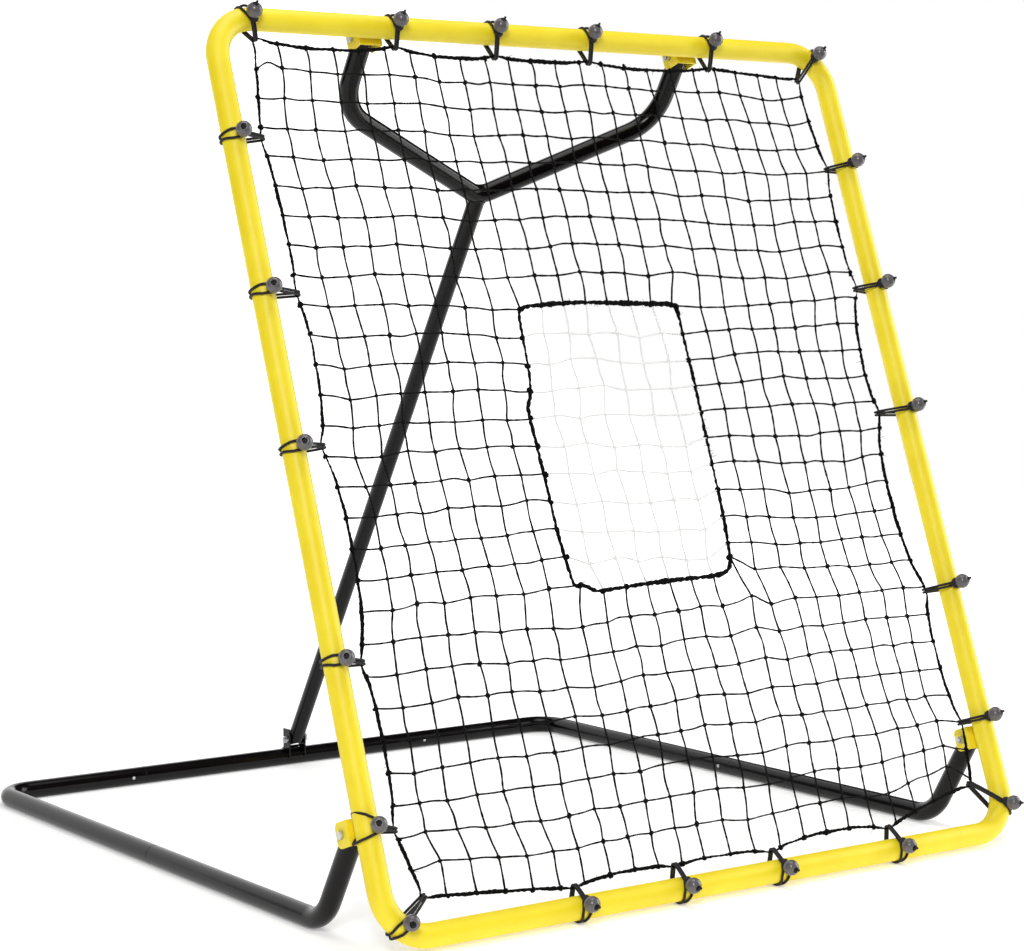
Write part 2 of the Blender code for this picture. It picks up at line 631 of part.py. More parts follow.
def rope_point(column, row):
    """A point of the border rope's polygon, at the end of a net line."""
    columns, rows = column_lines(), row_lines()
    last_column, last_row = len(columns) - 1, len(rows) - 1
    left, right = corner_point("top_left")[0], corner_point("top_right")[0]
    low, high = corner_point("bottom_left")[1], corner_point("top_left")[1]
    at_side = column in (0, last_column)
    at_end = row in (0, last_row)
    if at_side and at_end:
        end = "top" if row == 0 else "bottom"
        return corner_point(f"{end}_left" if column == 0 else f"{end}_right")
    if at_side:
        side = "left" if column == 0 else "right"
        across = FRAME_WIDTH / 2 - sagged(side, rows[row], low, high)
        return (-across if column == 0 else across), rows[row]
    side = "top" if row == 0 else "bottom"
    inset = sagged(side, columns[column], left, right)
    return columns[column], FRAME_HEIGHT - inset if row == 0 else inset


def border_route():
    """The ends of the net's lines as (column, row), clockwise from the top left corner."""
    last_column, last_row = len(column_lines()) - 1, len(row_lines()) - 1
    route = [(column, 0) for column in range(last_column)]
    route += [(last_column, row) for row in range(last_row)]
    route += [(column, last_row) for column in range(last_column, 0, -1)]
    return route + [(0, row) for row in range(last_row, 0, -1)]


def border():
    """The border rope's polygon, clockwise from the top left corner."""
    return [rope_point(column, row) for column, row in border_route()]


def zone_route():
    route = [(column, 0) for column in range(ZONE_COLUMNS)]
    route += [(ZONE_COLUMNS, row) for row in range(ZONE_ROWS)]
    route += [(column, ZONE_ROWS) for column in range(ZONE_COLUMNS, 0, -1)]
    return route + [(0, row) for row in range(ZONE_ROWS, 0, -1)]


def zone_point(column, row):
    """A point of the strike zone's rim: its left side bows out."""
    share = row / ZONE_ROWS
    left = ZONE_CENTRE - ZONE_WIDTH / 2 - ZONE_BOW * 4 * share * (1 - share)
    right = ZONE_CENTRE + ZONE_WIDTH / 2
    return left + (right - left) * column / ZONE_COLUMNS, ZONE_BOTTOM + ZONE_HEIGHT * (1 - share)


def zone_border():
    return [zone_point(column, row) for column, row in zone_route()]


def moved_inward(points, distance):
    """A closed clockwise polygon whose sides all stand further in by one distance."""
    moved = []
    for index, corner in enumerate(points):
        corner = Vector(corner)
        back = (corner - Vector(points[index - 1])).normalized()
        ahead = (Vector(points[(index + 1) % len(points)]) - corner).normalized()
        first, second = Vector((back.y, -back.x)), Vector((ahead.y, -ahead.x))
        moved.append(corner + (first + second) * distance / (1 + first.dot(second)))
    return moved


def beside_rope(radius):
    """From a rope's middle to the middle of the net's strand along it."""
    return circumscribed(radius, ROPE_SIDES) + GAP + TWINE_RADIUS


def net_knots():
    """The black net's knots by (column, row). It lies inside the border rope and outside the strike zone's."""
    columns, rows = column_lines(), row_lines()
    last_column, last_row = len(columns) - 1, len(rows) - 1
    edge = dict(zip(border_route(), moved_inward(border(), beside_rope(ROPE_RADIUS))))
    rim = dict(zip(zone_route(), moved_inward(zone_border(), -beside_rope(ZONE_ROPE_RADIUS))))
    knots = {}
    for row in range(last_row + 1):
        zone_row = min(max(row - TOP_ROWS, 0), ZONE_ROWS)
        left, right = rim[0, zone_row], rim[ZONE_COLUMNS, zone_row]
        for column in range(last_column + 1):
            zone_column = min(max(column - SIDE_COLUMNS, 0), ZONE_COLUMNS)
            if (column, row) in edge:
                knots[column, row] = edge[column, row]
                continue
            top, bottom = rim[zone_column, 0], rim[zone_column, ZONE_ROWS]
            if column < SIDE_COLUMNS:
                x = edge[0, row].lerp(left, column / SIDE_COLUMNS).x
            elif column > SIDE_COLUMNS + ZONE_COLUMNS:
                x = edge[last_column, row].lerp(right, (last_column - column) / SIDE_COLUMNS).x
            else:
                x = rim[zone_column, 0 if row <= TOP_ROWS else ZONE_ROWS].x
                if zone_column in (0, ZONE_COLUMNS):
                    x = rim[zone_column, zone_row].x
            if row < TOP_ROWS:
                z = edge[column, 0].lerp(top, row / TOP_ROWS).y
            elif row > TOP_ROWS + ZONE_ROWS:
                z = min(rows[row], bottom.y)
            else:
                z = rim[0, zone_row].y
            knots[column, row] = Vector((x, z))
    return knots


def strands(name, knots, faces, finish):
    """A net of thin bars along the edges of its cells."""
    mesh = bpy.data.meshes.new(name)
    mesh.from_pydata([(x, 0.0, z) for x, z in knots], [], faces)
    net = bpy.data.objects.new(name, mesh)
    bpy.context.scene.collection.objects.link(net)
    wire = net.modifiers.new("strands", "WIREFRAME")
    wire.thickness = TWINE_RADIUS * 2
    wire.use_even_offset = True
    wire.use_boundary = True
    place(as_mesh(net), name, FRAME_PIVOT, finish, PIVOT_PLACE)


def cells(columns, rows, kept):
    """The cells of a grid of knots, of which kept(column, row) says which are there."""
    faces = []
    for row in range(rows):
        for column in range(columns):
            if kept(column, row):
                first = row * (columns + 1) + column
                faces.append((first, first + columns + 1, first + columns + 2, first + 1))
    return faces


def nets():
    columns, rows = len(column_lines()) - 1, len(row_lines()) - 1

    def outside_zone(column, row):
        return not (0 <= column - SIDE_COLUMNS < ZONE_COLUMNS and 0 <= row - TOP_ROWS < ZONE_ROWS)

    knots = net_knots()
    points = [knots[column, row] for row in range(rows + 1) for column in range(columns + 1)]
    strands("rebound_net", points, cells(columns, rows, outside_zone), BLACK_TWINE)

    rim = dict(zip(zone_route(), moved_inward(zone_border(), beside_rope(ZONE_ROPE_RADIUS))))
    points = []
    for row in range(ZONE_ROWS + 1):
        for column in range(ZONE_COLUMNS + 1):
            across = rim[0, row].lerp(rim[ZONE_COLUMNS, row], column / ZONE_COLUMNS)
            points.append(rim.get((column, row), across))
    strands("strike_zone_net", points, cells(ZONE_COLUMNS, ZONE_ROWS, lambda column, row: True), WHITE_TWINE)


def ropes():
    for name, route, radius in (
        ("border_rope", border(), ROPE_RADIUS),
        ("strike_zone_rope", zone_border(), ZONE_ROPE_RADIUS),
    ):
        points = [Vector((x, 0.0, z)) for x, z in route]
        place(tube(points, radius, ROPE_SIDES, closed=True), name, FRAME_PIVOT, BLACK_ROPE, PIVOT_PLACE)


# Ball bungees


def bungee(name, tube_at, hook_at, slack=0.0, spread=CORD_SPREAD, aslant=0.0):
    """A ball and its elastic loop, one piece. Both strands go round the tube and the net's rope, and each end
    of the loop turns under the ball. tube_at and hook_at are (across, up) in the frame's plane, and aslant is
    how far the loop's plane is turned from square to the tube."""
    centre, hook = Vector((tube_at[0], 0.0, tube_at[1])), Vector((hook_at[0], 0.0, hook_at[1]))
    outward = (centre - hook).normalized()
    ahead = Vector((0.0, -1.0, 0.0))
    along = outward.cross(ahead)
    radius = STRAND_RADIUS / math.cos(aslant) + slack
    tangent = math.pi / 2 - math.acos((radius - HOOK_RADIUS) / (centre - hook).length)
    turns = [HALF_STEP * (1 + 2 * step) for step in range(SIDES // 2 + 1)]
    hook_turns = [math.pi + tangent + (math.pi - 2 * tangent) * step / 3 for step in range(4)]

    def strand(sign):
        points = []
        for turn in turns:
            wide = math.sin(min(turn, math.pi / 2)) ** 2
            aside = sign * (STRAND_HALF + spread * wide)
            points.append(centre + (ahead * math.cos(turn) + outward * math.sin(turn)) * radius + along * aside)
        for turn in hook_turns:
            direction = ahead * math.cos(turn) + outward * math.sin(turn)
            points.append(hook + direction * HOOK_RADIUS + along * sign * STRAND_HALF)
        direction = ahead * math.cos(HALF_STEP) - outward * math.sin(HALF_STEP)
        return points + [centre + direction * radius + along * sign * STRAND_HALF]

    loop = tube(strand(1) + strand(-1)[::-1], CORD_RADIUS * math.cos(math.pi / CORD_SIDES), CORD_SIDES, closed=True)
    bm = bmesh.new()
    bmesh.ops.create_uvsphere(bm, u_segments=8, v_segments=6, radius=BALL_RADIUS)
    lift = centre + ahead * (BALL_AHEAD + radius - STRAND_RADIUS)
    bmesh.ops.transform(bm, matrix=Matrix.Translation(lift), verts=bm.verts)
    ball = mesh_object("ball", bm)
    place(combine(loop, ball, "UNION"), name, FRAME_PIVOT, BUNGEE, PIVOT_PLACE)


def inset_at(side, position):
    """How far in the border rope's polygon stands, beside one place on a side."""
    along, inward = (0, 1) if side in ("top", "bottom") else (1, 0)
    tube_line = {"top": FRAME_HEIGHT, "bottom": 0.0, "left": -FRAME_WIDTH / 2, "right": FRAME_WIDTH / 2}[side]
    points = border()
    best = None
    for start, end in zip(points, points[1:] + points[:1]):
        low, high = sorted((start[along], end[along]))
        if not low <= position <= high or high == low:
            continue
        share = (position - start[along]) / (end[along] - start[along])
        inset = abs(start[inward] + (end[inward] - start[inward]) * share - tube_line)
        best = inset if best is None else min(best, inset)
    return best


def bungees():
    half = FRAME_WIDTH / 2
    beside_bracket = BRACKET_HEIGHT / 2 + CORD_RADIUS * 5 - STRAND_HALF
    for side, places in anchors().items():
        for index, position in enumerate(places):
            inset = inset_at(side, position) + HOOK_INSET
            tube_at, hook_at = {
                "top": ((position, FRAME_HEIGHT), (position, FRAME_HEIGHT - inset)),
                "bottom": ((position, 0.0), (position, inset)),
                "left": ((-half, position), (-half + inset, position)),
                "right": ((half, position), (half - inset, position)),
            }[side]
            spread = beside_bracket if position == SIDE_PIVOT_UP else CORD_SPREAD
            bungee(f"bungee_{side}_{index + 1}", tube_at, hook_at, spread=spread)
    middle_x, middle_z = half - FRAME_CORNER_RADIUS, FRAME_HEIGHT / 2
    for corner, turn in CORNER_TURNS.items():
        sign_x = -1 if corner.endswith("left") else 1
        sign_z = 1 if corner.startswith("top") else -1
        centre_z = middle_z + sign_z * (middle_z - FRAME_CORNER_RADIUS)
        tube_at = (
            sign_x * middle_x + FRAME_CORNER_RADIUS * math.cos(turn),
            centre_z + FRAME_CORNER_RADIUS * math.sin(turn),
        )
        x, z = corner_point(corner)
        step = CORNER_HOOK / math.sqrt(2)
        hook_at = (x - sign_x * step, z - sign_z * step)
        toward = math.atan2(tube_at[1] - hook_at[1], tube_at[0] - hook_at[0])
        aslant = math.remainder(toward - turn, math.tau)
        bungee(f"bungee_{corner}", tube_at, hook_at, slack=CORNER_SLACK, aslant=aslant)


clear_scene()
PARTS = collection("baseball_rebound_net")
YELLOW_PAINT = material("yellow_powder_coat", YELLOW, 0.30)
BLACK_PAINT = material("black_powder_coat", BLACK, 0.28)
STEEL = material("zinc_plated_steel", ZINC, 0.35, 1.0)
BLACK_TWINE = material("black_twine", NET_BLACK, 0.90)
WHITE_TWINE = material("white_twine", NET_WHITE, 0.90)
BLACK_ROPE = material("black_rope", NET_BLACK, 0.95)
BUNGEE = material("grey_ball_bungee", BALL_GREY, 0.45)

BASE = pivot("base", None, (0.0, -MIDDLE, 0.0))
FRAME_PIVOT = pivot("frame_pivot", BASE, (0.0, *SIDE_PIVOT), -FRAME_LEAN)
STRUT_PIVOT = pivot("strut_pivot", BASE, (0.0, *TOP_PIVOT), STRUT_SLOPE)
PIVOT_PLACE = (0.0, SIDE_PIVOT_BEHIND, SIDE_PIVOT_UP)

front_frame()
brackets()
floor_base()
foot_bracket()
strut()
nets()
ropes()
bungees()

FOLD = math.pi / 2 - FRAME_LEAN
STRUT_FOLD = STRUT_SLOPE + FRAME_LEAN
print(f"middle {MIDDLE:.5f} m, side pivot {SIDE_PIVOT}, top pivot {TOP_PIVOT}, foot pivot {FOOT_PIVOT}")
print(f"frame fold {math.degrees(FOLD):.3f}, strut fold {math.degrees(STRUT_FOLD):.3f}, ratio {STRUT_FOLD / FOLD:.5f}")
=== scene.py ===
# %% [markdown]
# A baseball rebound net stands on a U-shaped base of black tube. A yellow tube frame leans back on it, a
# Y-shaped strut props the frame, and elastic cords with grey balls stretch a knotted net across it.
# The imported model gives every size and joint. This lesson puts the real surfaces over it: round tubes,
# knotted twine, hairy rope and braided elastic.

import math

import bmesh
import bpy
import numpy as np
from mathutils import Matrix, Vector


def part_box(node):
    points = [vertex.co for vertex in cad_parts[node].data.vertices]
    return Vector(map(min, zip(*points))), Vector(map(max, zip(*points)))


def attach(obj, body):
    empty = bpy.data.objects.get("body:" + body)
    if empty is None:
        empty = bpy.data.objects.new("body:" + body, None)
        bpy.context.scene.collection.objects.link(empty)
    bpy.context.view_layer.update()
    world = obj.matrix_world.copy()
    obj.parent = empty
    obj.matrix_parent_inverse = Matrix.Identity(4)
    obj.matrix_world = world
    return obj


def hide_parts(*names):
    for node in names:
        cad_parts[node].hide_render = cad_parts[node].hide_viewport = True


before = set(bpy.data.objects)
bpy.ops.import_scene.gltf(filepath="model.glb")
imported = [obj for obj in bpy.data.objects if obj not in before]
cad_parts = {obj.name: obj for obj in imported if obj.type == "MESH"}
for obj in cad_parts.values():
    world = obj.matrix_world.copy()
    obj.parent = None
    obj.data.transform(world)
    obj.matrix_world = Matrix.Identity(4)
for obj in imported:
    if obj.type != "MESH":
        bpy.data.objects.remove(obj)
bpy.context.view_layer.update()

# %% [markdown]
# Most of the net lies in one leaning plane. It is easier to think in that plane, with a place across it,
# a place up it and a distance behind it, and to turn these into floor coordinates in one function.

# %% Sizes, in metres
LEAN = math.radians(20.0)
FRAME_HALF = 0.650
FRAME_TALL = 1.486
FRAME_TUBE = 0.0190
FRAME_CORNER = 0.075
FRAME_LIFT = 0.0245
MIDDLE = 0.68430

BASE_TUBE = 0.0170
REAR_BAR = 1.395
REAR_CORNER = 0.055
FRONT_BEND = 0.075
RISER = math.radians(59.0)
ARM_SEAM = 0.750
REAR_SEAM = 0.345
BUTTON_SETBACK = 0.029

# Between pieces that touch, the brackets' sheet, and what a rounded end leaves free in its bracket.
GAP = 0.0003
SHEET = 0.003
NOSE_ROOM = 0.0010

SIDE_PIVOT = (0.171, 0.038)
TOP_PIVOT = (1.483, 0.041)
FOOT_PIVOT = (1.3825, 0.055)
FORK_HALF = 0.340
FORK_STRAIGHT = 0.132
FORK_DEPTH = 0.298
FORK_TUBE = 0.0170
LEG_TUBE = 0.0155


def on_frame(across, up, behind=0.0):
    """Points of the leaning plane: up runs along the lean and behind runs square to it."""
    across, up, behind = np.broadcast_arrays(across, up, behind)
    y = up * math.sin(LEAN) + behind * math.cos(LEAN) - MIDDLE
    z = FRAME_LIFT + up * math.cos(LEAN) - behind * math.sin(LEAN)
    return np.stack([across, y, z], axis=-1).astype(float)


FRAME_NORMAL = np.array([0.0, math.cos(LEAN), -math.sin(LEAN)])
FRAME_UP = np.array([0.0, math.sin(LEAN), math.cos(LEAN)])
RIGHT = np.array([1.0, 0.0, 0.0])
print("top of the frame", np.round(on_frame(0.0, FRAME_TALL), 4))

# %% [markdown]
# A tube, a twine, a rope and a cord are one kind of surface: a small ring carried along a path. The ring
# needs two directions that stay square to the path. Where the path stays in a plane, the plane's own
# normal is one of them. Where it turns in space, the directions are handed on from point to point with as
# little turning as possible, so that the surface never twists by itself.

# %% Paths and the rings that run along them


def unit(vectors):
    """Each vector over its own length."""
    return vectors / np.linalg.norm(vectors, axis=-1, keepdims=True)


def rounded(corners, radii, closed=False, step=math.radians(5.0)):
    """Replaces each corner of a route by an arc that both its sides touch."""
    corners = np.asarray(corners, float)
    points = []
    count = len(corners)
    for index in range(count):
        corner = corners[index]
        if radii[index] == 0.0 or (not closed and index in (0, count - 1)):
            points.append(corner[None])
            continue
        back = unit(corners[index - 1] - corner)
        ahead = unit(corners[(index + 1) % count] - corner)
        turn = math.pi - math.acos(float(np.clip(back @ ahead, -1.0, 1.0)))
        centre = corner + unit(back + ahead) * radii[index] / math.cos(turn / 2)
        first = corner + back * radii[index] * math.tan(turn / 2) - centre
        side = unit(-back) * radii[index]
        angles = np.linspace(0.0, turn, max(3, math.ceil(turn / step)))[:, None]
        points.append(centre + first * np.cos(angles) + side * np.sin(angles))
    return np.concatenate(points)


def spread_out(points, spacing, closed=False):
    """The same path with points at equal steps, on smooth curves through the old points (Catmull-Rom)."""
    points = np.asarray(points, float)
    if closed:
        before, after, later = np.roll(points, 1, 0), np.roll(points, -1, 0), np.roll(points, -2, 0)
        start = points
    else:
        ends = np.concatenate([2 * points[:1] - points[1:2], points, 2 * points[-1:] - points[-2:-1]])
        before, start, after, later = ends[:-3], ends[1:-2], ends[2:-1], ends[3:]
    share = np.linspace(0.0, 1.0, 17)[:-1][None, :, None]
    before, start, after, later = (part[:, None] for part in (before, start, after, later))
    fine = 0.5 * (
        2 * start
        + (after - before) * share
        + (2 * before - 5 * start + 4 * after - later) * share**2
        + (3 * start - before - 3 * after + later) * share**3
    ).reshape(-1, points.shape[1])
    fine = np.concatenate([fine, points[:1] if closed else points[-1:]])
    length = np.concatenate([[0.0], np.cumsum(np.linalg.norm(np.diff(fine, axis=0), axis=1))])
    count = max(3, round(length[-1] / spacing))
    wanted = np.linspace(0.0, length[-1], count + 1)
    even = np.stack([np.interp(wanted, length, fine[:, axis]) for axis in range(points.shape[1])], axis=1)
    return even[:-1] if closed else even


def directions(path, closed, normal=None):
    """The path's own direction at each point, and two directions square to it."""
    if closed:
        along = unit(np.roll(path, -1, 0) - np.roll(path, 1, 0))
    else:
        along = unit(np.gradient(path, axis=0))
    if normal is not None:
        first = unit(normal - (along @ normal)[:, None] * along)
        return along, first, np.cross(along, first)
    first = np.empty_like(path)
    start = np.cross(along[0], [0.3, 0.5, 0.81])
    first[0] = unit(start)
    for index in range(1, len(path)):
        carried = first[index - 1] - along[index] * (first[index - 1] @ along[index])
        first[index] = unit(carried)
    second = np.cross(along, first)
    if closed:
        # What is left over after one round is spread evenly over the path.
        last = first[-1] - along[0] * (first[-1] @ along[0])
        left = math.atan2(float(last @ second[0]), float(last @ first[0]))
        turn = (-left * np.arange(len(path)) / len(path))[:, None]
        first, second = (
            first * np.cos(turn) + second * np.sin(turn),
            second * np.cos(turn) - first * np.sin(turn),
        )
    return along, first, second


def grid_surface(grid, lengths, closed=False):
    """Quads between neighbouring rings, each ring closed, and a fan over each end. The UV map runs in
    metres along the path and from 0 to 1 round the ring."""
    rings, sides = grid.shape[:2]
    points = grid.reshape(-1, 3)
    ring = np.arange(rings if closed else rings - 1)[:, None]
    side = np.arange(sides)[None, :]
    here, ahead = ring * sides, ((ring + 1) % rings) * sides
    turned = (side + 1) % sides
    quads = np.stack([here + side, here + turned, ahead + turned, ahead + side], axis=-1).reshape(-1, 4)
    ahead_length = np.append(lengths, lengths[-1] + (lengths[-1] - lengths[-2]))
    low, high = ahead_length[ring] + 0 * side, ahead_length[ring + 1] + 0 * side
    left, right = side / sides + 0 * ring, (side + 1) / sides + 0 * ring
    round_a_quad = ((low, left), (low, right), (high, right), (high, left))
    uv = np.stack([np.stack(corner, -1) for corner in round_a_quad], axis=-2).reshape(-1, 2)
    triangles = np.empty((0, 3), int)
    if not closed:
        ends = []
        for ring_at, flip in ((0, True), (rings - 1, False)):
            pole = len(points)
            points = np.concatenate([points, grid[ring_at].mean(axis=0)[None]])
            one = ring_at * sides + np.arange(sides)
            two = ring_at * sides + (np.arange(sides) + 1) % sides
            fan = [two, one] if flip else [one, two]
            ends.append(np.stack([*fan, np.full(sides, pole)], axis=-1))
            at = np.full((sides, 3, 2), [lengths[ring_at], 0.5])
            uv = np.concatenate([uv, at.reshape(-1, 2)])
        triangles = np.concatenate(ends)
    return points, quads, triangles, uv


def carried(path, radius, sides, closed=False, normal=None):
    """A ring of the given radius at each point of a path. The radius may change along and round it."""
    path = np.asarray(path, float)
    _, first, second = directions(path, closed, normal)
    turn = np.arange(sides) * math.tau / sides
    if np.ndim(radius) == 1:
        radius = np.asarray(radius, float)[:, None]
    radius = np.broadcast_to(radius, (len(path), sides))
    ring = first[:, None] * np.cos(turn)[None, :, None] + second[:, None] * np.sin(turn)[None, :, None]
    grid = path[:, None] + ring * radius[..., None]
    steps = np.linalg.norm(np.diff(path, axis=0), axis=1)
    return grid_surface(grid, np.concatenate([[0.0], np.cumsum(steps)]), closed)


def gathered(surfaces):
    """Many surfaces as one, with their faces' numbers moved on."""
    points, quads, triangles, quad_uv, triangle_uv = [], [], [], [], []
    offset = 0
    for spot, four, three, uv in surfaces:
        points.append(spot)
        quads.append(four + offset)
        triangles.append(three + offset)
        quad_uv.append(uv[: four.size])
        triangle_uv.append(uv[four.size :])
        offset += len(spot)
    merged = (np.concatenate(parts) for parts in (points, quads, triangles, quad_uv + triangle_uv))
    return tuple(merged)


def make_piece(name, surface, material, smooth=50.0):
    """Puts a surface into an object at the origin, with its UV map and its shading."""
    points, quads, triangles, uv = surface
    mesh = bpy.data.meshes.new(name)
    mesh.from_pydata(points.tolist(), [], quads.tolist() + triangles.tolist())
    layer = mesh.uv_layers.new(name="along_and_round")
    layer.data.foreach_set("uv", uv.astype(np.float32).ravel())
    mesh.materials.append(material)
    mesh.shade_smooth()
    mesh.set_sharp_from_angle(angle=math.radians(smooth))
    piece = bpy.data.objects.new(name, mesh)
    bpy.context.scene.collection.objects.link(piece)
    return piece


def stand_in(piece, body, slot, *nodes):
    """The piece moves with a body and stands in for these nodes, which are hidden. The slot is not used.
    """
    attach(piece, body)
    if nodes:
        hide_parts(*nodes)


# %% [markdown]
# Every material is built from a few nodes. One function adds a node, sets its values and links its
# sources in one call. Colours are written as they look on a screen and turned into linear light.

# %% Colours and the function that adds a node


def colour(hexadecimal):
    """An sRGB hex value as linear red, green, blue and alpha."""
    srgb = np.array([int(hexadecimal[start : start + 2], 16) for start in (1, 3, 5)]) / 255.0
    linear = np.where(srgb <= 0.04045, srgb / 12.92, ((srgb + 0.055) / 1.055) ** 2.4)
    return (*linear.tolist(), 1.0)


def add(tree, kind, settings=None, links=None):
    """One node: settings are its properties or its sockets' values, links are its sockets' sources."""
    node = tree.nodes.new(kind)
    for key, value in (settings or {}).items():
        if isinstance(key, str) and hasattr(node, key):
            setattr(node, key, value)
        else:
            node.inputs[key].default_value = value
    for key, source in (links or {}).items():
        tree.links.new(source, node.inputs[key])
    return node


def new_finish(name):
    """A material with its output and its one shader."""
    finish = bpy.data.materials.new(name)
    finish.use_nodes = True
    return finish, finish.node_tree, finish.node_tree.nodes["Principled BSDF"]


# %% [markdown]
# Powder coat is a plastic skin melted on in an oven. It levels out like thick varnish, so it is smooth,
# but it keeps a faint orange-peel ripple a few millimetres across. Two coats are needed. The yellow one on
# the front frame is satin and spreads a light over half the tube, and the black one on the base and strut
# is glossier, so its lights are narrow stripes.

# %% Powder coat


def powder_coat(name, main, worn, roughness, shine):
    """A coloured shader whose colour and gloss drift over patches, with a ripple in its bump."""
    finish, tree, shader = new_finish(name)
    place = add(tree, "ShaderNodeTexCoord").outputs["Object"]
    # Handling leaves broad faint patches, about 60 mm across.
    patch = add(tree, "ShaderNodeTexNoise", {"Scale": 16.0, "Detail": 3.0}, {"Vector": place})
    tint = add(tree, "ShaderNodeValToRGB", {}, {"Fac": patch.outputs["Fac"]})
    tint.color_ramp.elements[0].position, tint.color_ramp.elements[0].color = 0.35, colour(worn)
    tint.color_ramp.elements[1].position, tint.color_ramp.elements[1].color = 0.65, colour(main)
    tree.links.new(tint.outputs["Color"], shader.inputs["Base Color"])
    spread = {"To Min": roughness, "To Max": roughness + 0.07}
    sheen = add(tree, "ShaderNodeMapRange", spread, {"Value": patch.outputs["Fac"]})
    tree.links.new(sheen.outputs["Result"], shader.inputs["Roughness"])
    # The ripple of the melted powder is about 3 mm from crest to crest.
    ripple = add(tree, "ShaderNodeTexNoise", {"Scale": 330.0, "Detail": 1.0}, {"Vector": place})
    relief = {"Strength": 0.10, "Distance": 0.0006}
    bump = add(tree, "ShaderNodeBump", relief, {"Height": ripple.outputs["Fac"]})
    tree.links.new(bump.outputs["Normal"], shader.inputs["Normal"])
    shader.inputs["Specular IOR Level"].default_value = shine
    return finish


YELLOW_COAT = powder_coat("yellow_powder_coat_baked", "#FBE524", "#F6DD18", roughness=0.46, shine=0.60)
BLACK_COAT = powder_coat("black_powder_coat_baked", "#060405", "#0A0708", roughness=0.15, shine=0.22)

# %% [markdown]
# The bolts, nuts and snap buttons are zinc-plated steel. Bright zinc is a soft grey mirror with fine
# scuffs, so it is a metal whose roughness wanders a little.

# %% Zinc-plated steel


def zinc_plate():
    """A metal whose roughness follows a fine noise, for its scuffs."""
    finish, tree, shader = new_finish("zinc_plated_steel_bright")
    place = add(tree, "ShaderNodeTexCoord").outputs["Object"]
    scuff = add(tree, "ShaderNodeTexNoise", {"Scale": 900.0, "Detail": 4.0}, {"Vector": place})
    spread = {"To Min": 0.22, "To Max": 0.46}
    dull = add(tree, "ShaderNodeMapRange", spread, {"Value": scuff.outputs["Fac"]})
    tree.links.new(dull.outputs["Result"], shader.inputs["Roughness"])
    shader.inputs["Base Color"].default_value = colour("#C6C8CB")
    shader.inputs["Metallic"].default_value = 1.0
    return finish


ZINC = zinc_plate()

# %% [markdown]
# Twine is spun from two or three plies, and the grooves between them wind round it. A rope's grooves are
# the same and wider, and an elastic cord's sleeve is braided, so its grooves cross. Each pattern follows
# the strand, so it reads the UV map, which counts metres along the strand and one turn round it.

# %% Twisted and braided strands


def twisted(name, light, groove_shade, pitch, plies, depth, roughness, braided=False):
    """The height is the sine of the turns that a groove has made: metres along over the pitch, plus turns
    round. A braid takes the higher of two such sines that wind opposite ways."""
    finish, tree, shader = new_finish(name)
    strand = add(tree, "ShaderNodeTexCoord").outputs["UV"]
    where = add(tree, "ShaderNodeSeparateXYZ", {}, {"Vector": strand})
    lengthways = {"operation": "MULTIPLY", 1: math.tau / pitch}
    along = add(tree, "ShaderNodeMath", lengthways, {0: where.outputs["X"]})
    heights = []
    for way in (1.0, -1.0) if braided else (1.0,):
        crossways = {"operation": "MULTIPLY_ADD", 1: way * plies * math.tau}
        turn = add(tree, "ShaderNodeMath", crossways, {0: where.outputs["Y"], 2: along.outputs[0]})
        groove = add(tree, "ShaderNodeMath", {"operation": "SINE"}, {0: turn.outputs[0]})
        heights.append(groove.outputs[0])
    height = heights[0]
    if braided:
        higher = add(tree, "ShaderNodeMath", {"operation": "MAXIMUM"}, {0: heights[0], 1: heights[1]})
        height = higher.outputs[0]
    place = add(tree, "ShaderNodeTexCoord").outputs["Object"]
    fibre = add(tree, "ShaderNodeTexNoise", {"Scale": 1500.0, "Detail": 3.0}, {"Vector": place})
    fuzz = {"operation": "MULTIPLY_ADD", 1: 0.8}
    rough = add(tree, "ShaderNodeMath", fuzz, {0: fibre.outputs["Fac"], 2: height}).outputs[0]
    # The colour follows the same height: the grooves between the plies are painted darker as painted
    # shade, and the fibre noise adds the strand's own uneven tone.
    tint = add(tree, "ShaderNodeMapRange", {"From Min": -0.8, "From Max": 1.6}, {"Value": rough})
    ramp = add(tree, "ShaderNodeValToRGB", {}, {"Fac": tint.outputs["Result"]})
    ramp.color_ramp.elements[0].color, ramp.color_ramp.elements[1].color = colour(groove_shade), colour(light)
    tree.links.new(ramp.outputs["Color"], shader.inputs["Base Color"])
    bump = add(tree, "ShaderNodeBump", {"Strength": 0.8, "Distance": depth}, {"Height": rough})
    tree.links.new(bump.outputs["Normal"], shader.inputs["Normal"])
    shader.inputs["Roughness"].default_value = roughness
    shader.inputs["Specular IOR Level"].default_value = 0.30 if braided else 0.12
    return finish


BLACK_TWINE = twisted(
    "black_polyethylene_twine", "#0F0E0F", "#020202", pitch=0.006, plies=2.0, depth=0.0004, roughness=0.75
)
WHITE_TWINE = twisted(
    "white_polyester_twine", "#FCFCFA", "#ECECEA", pitch=0.006, plies=2.0, depth=0.0004, roughness=0.85
)
BLACK_ROPE = twisted(
    "black_spun_rope", "#0C0B0C", "#020202", pitch=0.010, plies=3.0, depth=0.0009, roughness=0.92
)
ELASTIC = twisted(
    "black_braided_elastic", "#2A2729", "#060506", pitch=0.0032, plies=3.0, depth=0.0003, roughness=0.62,
    braided=True,
)

# %% [markdown]
# Each ball is moulded plastic, mid grey and satin. Moulding leaves a very fine spark-eroded grain.

# %% Moulded grey plastic


